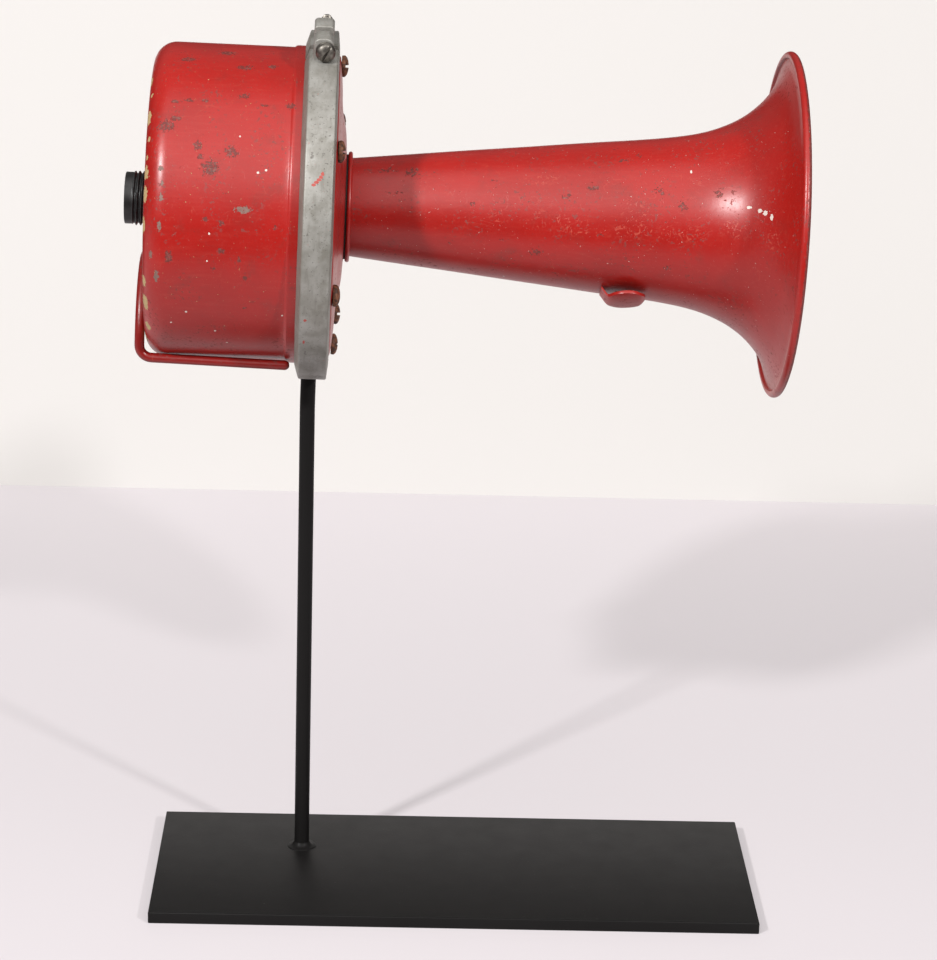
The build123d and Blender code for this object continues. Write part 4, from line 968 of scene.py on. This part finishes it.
def conduit_stub(material):
    """The threaded pipe stub: a helical thread with a plain lead at its open end."""
    shape = bmesh.new()
    steps = 128
    rows_per_pitch = 10
    plain = NIPPLE_RADIUS - NIPPLE_LEAD_DEPTH * NIPPLE_DEPTH
    length = NIPPLE_FRONT - NIPPLE_REAR
    rows = int(length / NIPPLE_PITCH * rows_per_pitch)
    rings = []
    for row in range(rows + 1):
        x = NIPPLE_REAR + length * row / rows
        ring = []
        for step in range(steps):
            phase = ((x - NIPPLE_REAR) / NIPPLE_PITCH + step / steps) % 1.0
            threaded = NIPPLE_RADIUS - NIPPLE_DEPTH * thread_depth(phase)
            cut = min(max((x - NIPPLE_REAR - NIPPLE_LEAD) / (0.6 * NIPPLE_PITCH), 0.0), 1.0)
            radius = (1 - cut) * plain + cut * threaded if row else plain - NIPPLE_CHAMFER
            ring.append(shape.verts.new(turned(x, 360.0 * step / steps, radius)))
        rings.append(ring)
    chamfer = NIPPLE_BORE_CHAMFER
    bore = NIPPLE_BORE
    for x, radius in ((NIPPLE_FRONT, bore), (NIPPLE_REAR + chamfer, bore), (NIPPLE_REAR, bore + chamfer)):
        rings.append([shape.verts.new(turned(x, 360.0 * step / steps, radius)) for step in range(steps)])
    bridge(shape, rings + rings[:1], steps)
    bmesh.ops.recalc_face_normals(shape, faces=shape.faces)
    piece = as_object("conduit_stub", shape, crease=50)
    return fit_out(piece, "horn_on_stand", material, "conduit_nipple")


def rounded_path(points, radius, steps=8):
    """Straight runs joined by round bends."""
    path = [Vector(points[0])]
    for before, corner, after in zip(points, points[1:], points[2:]):
        corner = Vector(corner)
        back = (Vector(before) - corner).normalized()
        on = (Vector(after) - corner).normalized()
        half = back.angle(on) / 2
        reach = radius / math.tan(half)
        centre = corner + (back + on).normalized() * radius / math.sin(half)
        start = corner + back * reach - centre
        end = corner + on * reach - centre
        turn = start.angle(end)
        for step in range(steps + 1):
            share = step / steps
            swing = (math.sin((1 - share) * turn) * start + math.sin(share * turn) * end) / math.sin(turn)
            path.append(centre + swing)
    return [*path, Vector(points[-1])]


def rod_along(path, radius, steps=32, round_ends=True):
    """A round bar along a path, with rounded or flat ends."""
    shape = bmesh.new()
    heading = (path[1] - path[0]).normalized()
    side = heading.orthogonal().normalized()
    stations = [(point, radius) for point in path]
    if round_ends:
        cap = [(math.cos(math.radians(angle)), math.sin(math.radians(angle))) for angle in (75, 55, 35, 18)]
        back = (path[0] - path[1]).normalized()
        onward = (path[-1] - path[-2]).normalized()
        stations = [(path[0] + back * radius * s, radius * c) for c, s in cap] + stations
        stations += [(path[-1] + onward * radius * s, radius * c) for c, s in reversed(cap)]
    rings = []
    for number, (point, width) in enumerate(stations):
        ahead = stations[min(number + 1, len(stations) - 1)][0]
        behind = stations[max(number - 1, 0)][0]
        heading = (ahead - behind).normalized()
        side = (side - heading * side.dot(heading)).normalized()
        other = heading.cross(side)
        ring = []
        for step in range(steps):
            angle = math.tau * step / steps
            ring.append(shape.verts.new(point + width * (math.cos(angle) * side + math.sin(angle) * other)))
        rings.append(ring)
    bridge(shape, rings, steps)
    shape.faces.new(rings[0])
    shape.faces.new(rings[-1])
    bmesh.ops.recalc_face_normals(shape, faces=shape.faces)
    return shape


def bail(material):
    """The bent wire: two arms under the drum, joined by a round eye on its rear face."""
    sine, cosine = math.sin(math.radians(BAIL_CLOCK)), math.cos(math.radians(BAIL_CLOCK))
    half = BAIL_REACH * sine
    low, tip_low = -BAIL_REACH * cosine, -BAIL_TIP_REACH * cosine
    tip_half = BAIL_TIP_REACH * sine
    near = [(BAIL_TIP, -tip_half, tip_low), (BAIL_REAR, -half, low), (BAIL_REAR, -half, BAIL_EYE_Z)]
    far = [(BAIL_REAR, half, BAIL_EYE_Z), (BAIL_REAR, half, low), (BAIL_TIP, tip_half, tip_low)]
    eye = [Vector((BAIL_REAR, y, BAIL_EYE_Z + z)) for y, z in arc((0, 0), half, 180, 0, 24)]
    path = rounded_path(near, BAIL_BEND)[:-1] + eye + rounded_path(far, BAIL_BEND)[1:]
    piece = as_object("bail_wire", rod_along(path, BAIL_RADIUS))
    return fit_out(piece, "horn_on_stand", material, "wire_bail")


# Clamp band and its screw


def threaded_shank(radius, length, pitch):
    """An outline, as (radius, height) points below 0, of a threaded shank with a tapered end."""
    depth = 0.6 * pitch
    outline = [(radius - 0.3 * depth, 0)]
    turns = int((length - radius) / pitch)
    for turn in range(turns):
        top = -0.4 * radius - turn * pitch
        outline.append((radius - depth, top - 0.15 * pitch))
        outline += [(radius, top - 0.5 * pitch), (radius, top - 0.62 * pitch)]
    outline += [(radius - depth, -length + 0.6 * depth), (radius - 1.6 * depth, -length), (0, -length)]
    return outline


def slotted_screw(name, shank, head, slot_turn):
    """A round-headed screw along Z, with its seat at 0, a cut slot and a threaded shank."""
    head_radius, head_height = head
    side = 0.35 * head_height
    steps = 48
    flatten = (head_height - side) / head_radius
    dome = arc((0, side - 0.05 * MM), head_radius, 80, 8, 9)
    outline = [(0, head_height), *((r, side + (z - side) * flatten if z > side else z) for r, z in dome)]
    outline += [(head_radius, side), (head_radius - 0.15 * MM, 0), *threaded_shank(*shank)]
    shape = bmesh.new()
    rings = []
    for r, z in outline:
        angles = [math.tau * step / steps for step in range(steps)]
        rings.append([shape.verts.new((r * math.cos(angle), r * math.sin(angle), z)) for angle in angles])
    bridge(shape, rings, steps)
    bmesh.ops.remove_doubles(shape, verts=shape.verts, dist=0.001 * MM)
    bmesh.ops.recalc_face_normals(shape, faces=shape.faces)
    screw = as_object(name, shape, Matrix.Identity(4))
    slot = block((3 * head_radius, 0.27 * head_radius, 0.9 * head_height), (0, 0, head_height))
    bmesh.ops.rotate(slot, matrix=Matrix.Rotation(math.radians(slot_turn), 3, "Z"), verts=slot.verts)
    combined(screw, as_object("slot", slot, Matrix.Identity(4)), "DIFFERENCE")
    return finish_edges(screw, 0.12 * MM)


def clocked(clock, x=0.0, lateral=0.0, height=0.0):
    """A place at a clock angle of the horn: x along it, lateral across, and height from its axis."""
    turn = Matrix.Rotation(math.radians(clock), 4, "X")
    return turn @ Matrix.Translation((x, lateral, height))


def clamp_ear(corner):
    """One ear of the band: a short block with rounded top corners, lying across the gap."""
    half = EAR_WIDTH / 2
    outline = [(-half, GROOVE_RADIUS), (half, GROOVE_RADIUS)]
    outline += arc((half - corner, EAR_TOP - corner), corner, 0, 90, 8)
    outline += arc((corner - half, EAR_TOP - corner), corner, 90, 180, 8)
    shape = bmesh.new()
    near = [shape.verts.new((x, -EAR_THICKNESS / 2, z)) for x, z in outline]
    far = [shape.verts.new((x, EAR_THICKNESS / 2, z)) for x, z in outline]
    shape.faces.new(near)
    shape.faces.new(list(reversed(far)))
    for number in range(len(outline)):
        shape.faces.new((near[number - 1], far[number - 1], far[number], near[number]))
    bmesh.ops.recalc_face_normals(shape, faces=shape.faces)
    return bevel(shape, EAR_EDGE, 3, least_angle=50)


def clamp_band(material):
    """The split band: a bevelled channel with two ears across its gap."""
    outline = [
        (BAND_REAR_FOOT, BAND_INNER),
        (BAND_REAR_FOOT, BAND_FOOT_RADIUS),
        (BAND_REAR, BAND_RADIUS),
        (BAND_FRONT, BAND_RADIUS),
        (BAND_FRONT_FOOT, BAND_FOOT_RADIUS),
        (BAND_FRONT_FOOT + BAND_LIP, BAND_FRONT_INNER),
        (PLATE_FLANGE_FRONT + GROOVE_FRONT_MOUTH, BAND_FRONT_INNER),
        (PLATE_FLANGE_FRONT + GROOVE_PLAY, GROOVE_RADIUS),
        (GROOVE_REAR, GROOVE_RADIUS),
        (GROOVE_REAR_MOUTH, BAND_INNER),
    ]
    half_gap = math.degrees(math.asin(BAND_GAP / 2 / BAND_RADIUS))
    shape = lathe(soften(outline, BAND_EDGE), BAND_GAP_CLOCK + half_gap, 360 - 2 * half_gap)
    piece = as_object("split_band", roughen(shape, 0.12 * MM, 9 * MM, seed=5.0))
    for side, corner in ((-1, HEAD_EAR_CORNER), (1, FAR_EAR_CORNER)):
        lateral = side * (BAND_GAP + EAR_THICKNESS) / 2
        ear = place_shape(clamp_ear(corner), clocked(BAND_GAP_CLOCK, EAR_X, lateral))
        combined(piece, as_object("ear", ear), "UNION")
    hole = bmesh.new()
    place = clocked(BAND_GAP_CLOCK, CLAMP_SCREW_X, 0, CLAMP_SCREW_HEIGHT) @ ACROSS
    add_rod(hole, CLAMP_SCREW_RADIUS, CLAMP_HOLE_LENGTH, place)
    combined(piece, as_object("hole", hole), "DIFFERENCE")
    smooth(piece.data, 38)
    return fit_out(piece, "horn_on_stand", material, "clamp_band")


def clamp_fastener(material):
    """The band's slotted screw and its washer, through both ears."""
    seat = BAND_GAP / 2 + EAR_THICKNESS + CLAMP_WASHER_THICKNESS
    place = HORN @ clocked(BAND_GAP_CLOCK, CLAMP_SCREW_X, -seat, CLAMP_SCREW_HEIGHT) @ ACROSS
    shank = (CLAMP_SCREW_RADIUS, CLAMP_SCREW_LENGTH, CLAMP_SCREW_PITCH)
    screw = slotted_screw("band_screw", shank, (CLAMP_HEAD_RADIUS, CLAMP_HEAD_HEIGHT), CLAMP_SLOT_TURN)
    screw.matrix_world = place
    fit_out(screw, "clamp_screw", material, "clamp_screw")
    depth, inner, outer = CLAMP_WASHER_THICKNESS, CLAMP_SCREW_RADIUS + 0.2 * MM, CLAMP_WASHER_RADIUS
    ring = lathe(soften([(-depth, inner), (-depth, outer), (0, outer), (0, inner)], 0.2 * MM), steps=64)
    washer = as_object("band_washer", ring, place @ Matrix.Rotation(-math.pi / 2, 4, "Y"))
    fit_out(washer, "clamp_washer", material, "clamp_washer")


def plate_fasteners(material):
    """The front plate's screws, each with its slot at its own angle, and the tone screw among them."""
    head = (SCREW_HEAD_RADIUS, SCREW_HEAD_HEIGHT)
    shank = (SCREW_RADIUS, SCREW_LENGTH, SCREW_PITCH)
    for number, (clock, turn) in enumerate(zip(SCREW_CLOCKS, SLOT_TURNS)):
        screw = slotted_screw(f"plate_screw_{number + 1}", shank, head, SLOT_AIM - clock + turn)
        screw.matrix_world = HORN @ clocked(clock, SCREW_SEAT_X, 0, SCREW_CIRCLE) @ ALONG
        fit_out(screw, "horn_on_stand", material, "plate_screws")
    shank = (SCREW_RADIUS, TONE_SCREW_LENGTH, TONE_SCREW_PITCH)
    screw = slotted_screw("sound_screw", shank, head, SLOT_AIM - TONE_SCREW_CLOCK)
    screw.matrix_world = HORN @ clocked(TONE_SCREW_CLOCK, TONE_SCREW_SEAT_X, 0, SCREW_CIRCLE) @ ALONG
    fit_out(screw, "tone_screw", material, "tone_screw")


def cover_plate(material):
    """The pressed cover: a rim in the band, a ring with a flat at each screw, and a low dome."""
    flange, shoulder, wall = PLATE_FLANGE_FRONT, PLATE_SHOULDER, PLATE_WALL
    face = curve_through([(x * MM, radius * MM) for x, radius in PLATE_FACE_MM], 6)
    face.append((PLATE_CENTRE_X, PLATE_HOLE))
    outer = [(flange, FLANGE_RADIUS), (flange, shoulder), *face]
    inner = [(x - wall, radius) for x, radius in reversed(face[6:])]
    outline = [(flange - wall, FLANGE_RADIUS), *outer, *inner, (flange - wall, shoulder - wall)]
    shape = lathe(outline)
    seats = [(clock, SCREW_SEAT_X) for clock in SCREW_CLOCKS]
    seats.append((TONE_SCREW_CLOCK, TONE_SCREW_SEAT_X))
    for clock, seat in seats:
        centre = turned(0, clock, SCREW_CIRCLE)
        for vert in shape.verts:
            if vert.co.x > seat and (vert.co.yz - centre.yz).length < SCREW_FLAT:
                vert.co.x = seat
    piece = as_object("cover_plate", shape)
    holes = bmesh.new()
    for clock, seat in seats:
        add_rod(holes, SCREW_HOLE, SCREW_HOLE_LENGTH, clocked(clock, seat, 0, SCREW_CIRCLE) @ ALONG)
    combined(piece, as_object("holes", holes), "DIFFERENCE")
    smooth(piece.data, 38)
    return fit_out(piece, "horn_on_stand", material, "front_plate")


# Trumpet


def collar_ring(material):
    """The trumpet's collar: a round edge, and a spigot inside the trumpet's foot."""
    bead = (COLLAR_FRONT - COLLAR_REAR) / 2
    spigot = TRUMPET_FOOT_RADIUS - TRUMPET_WALL - 0.02 * MM
    outline = arc((COLLAR_REAR + bead, COLLAR_RADIUS - bead), bead, 180, 0, 12)
    outline += [(COLLAR_FRONT, spigot), (COLLAR_SPIGOT_END, spigot), (COLLAR_SPIGOT_END, COLLAR_SPIGOT)]
    outline += [(COLLAR_REAR, PLATE_HOLE)]
    piece = as_object("collar_ring", lathe(outline), crease=40)
    return fit_out(piece, "horn_on_stand", material, "trumpet_collar")


def gasket_ring(material):
    outline = [
        (PLATE_CENTRE_X, PLATE_HOLE),
        (PLATE_CENTRE_X, GASKET_RADIUS),
        (COLLAR_REAR, GASKET_RADIUS),
        (COLLAR_REAR, PLATE_HOLE),
    ]
    piece = as_object("throat_ring", lathe(soften(outline, 0.15 * MM)))
    return fit_out(piece, "horn_on_stand", material, "throat_gasket")


def strap_tongue(material):
    """The bent tongue below the trumpet's side: its foot on the trumpet, its round end standing clear."""
    line = curve_through([(x * MM, radius * MM) for x, radius in TAB_PROFILE_MM], 7)
    centre = TAB_END - TAB_HALF_WIDTH
    shape = bmesh.new()
    columns = 17
    sheets = []
    for drop in (0.0, TAB_THICKNESS):
        rows = []
        for x, radius in line:
            half = math.sqrt(max(TAB_HALF_WIDTH**2 - (x - centre) ** 2, TAB_LEAST_HALF_WIDTH**2))
            upper = max(half, TAB_NECK_UPPER) if x < TAB_NECK_END else half
            lower = max(half, TAB_NECK_LOWER) if x < TAB_NECK_END else half
            laterals = [-upper + (upper + lower) * column / (columns - 1) for column in range(columns)]
            clocks = [TAB_CLOCK + math.degrees(lateral / (radius + drop)) for lateral in laterals]
            rows.append([shape.verts.new(turned(x, clock, radius + drop)) for clock in clocks])
        sheets.append(rows)
    inner, outer = sheets
    for rows in sheets:
        bridge(shape, rows, columns - 1)
    rims = [
        ([row[0] for row in inner], [row[0] for row in outer]),
        ([row[-1] for row in inner], [row[-1] for row in outer]),
        (inner[0], outer[0]),
        (inner[-1], outer[-1]),
    ]
    for rim in rims:
        bridge(shape, rim, len(rim[0]) - 1)
    bmesh.ops.recalc_face_normals(shape, faces=shape.faces)
    bevel(shape, TAB_EDGE, 2, least_angle=50)
    piece = as_object("strap_tongue", shape)
    return fit_out(piece, "horn_on_stand", material, "strap_tab")


def offset_line(points, distance):
    """The same outline moved inwards at right angles to itself."""
    moved = []
    for number, (x, radius) in enumerate(points):
        before = Vector(points[max(number - 1, 0)])
        after = Vector(points[min(number + 1, len(points) - 1)])
        run = (after - before).normalized()
        moved.append((x + distance * run.y, radius - distance * run.x))
    return moved


def trumpet_horn(material):
    """The spun cone and bell, one sheet whose edge is rolled round a wire."""
    foot = (COLLAR_FRONT, TRUMPET_FOOT_RADIUS)
    slope = (CONE_END[0] - foot[0], CONE_END[1] - foot[1])
    steps = 24
    cone = [(foot[0] + slope[0] * step / steps, foot[1] + slope[1] * step / steps) for step in range(steps)]
    flare = curve_through([CONE_END, *((x * MM, radius * MM) for x, radius in FLARE_MM)], 9, slope)
    outer = cone + flare
    inner = offset_line(outer, TRUMPET_WALL)
    bead = arc((BEAD_X, BEAD_CENTRE_RADIUS), BEAD_RADIUS, 205, -55, 26)
    outline = outer + bead + list(reversed(inner[:-1]))
    shape = roughen(lathe(outline), 0.10 * MM, 30 * MM, seed=8.0)
    piece = as_object("trumpet_bell", shape, crease=50)
    return fit_out(piece, "horn_on_stand", material, "trumpet")


# Put together

camera()
surroundings()
softbox("left_light", *LEFT_LIGHT)
softbox("right_light", *RIGHT_LIGHT)
room_light()
bpy.context.scene.view_settings.view_transform = "Standard"

enamel = red_enamel("red_enamel")
materials = {
    "black_coat": black_coat("black_coat"),
    "band_metal": band_metal("band_metal"),
    "red_enamel": enamel,
    "rusty_steel": rusty_steel("rusty_steel"),
    "dark_steel": dark_steel("dark_steel"),
}
materials |= {name: plain_metal(name, *look) for name, look in PLAIN_LOOKS.items()}
materials |= {name: striped(name, *look) for name, look in STRIPED_LOOKS.items()}
for part in frame["record"]["subparts"]:
    for place in frame["nodes"][part["node"]].material_slots:
        place.material = materials[part["material_slot"]]

base_block(materials["black_coat"])
upright(materials["black_coat"])
drum_shell(red_enamel("drum_enamel", drum_wear))
conduit_stub(materials["black_pipe"])
# The bail gets a darker copy of the red enamel: painted shade under the drum.
bail(red_enamel("bail_shaded_enamel", red=BAIL_SHADED_RED))
clamp_band(materials["band_metal"])
clamp_fastener(materials["dark_steel"])
cover_plate(enamel)
plate_fasteners(materials["rusty_steel"])
collar_ring(enamel)
gasket_ring(materials["gasket_rubber"])
trumpet_horn(red_enamel("trumpet_enamel", trumpet_wear, TRUMPET_SCRATCHED))
strap_tongue(enamel)
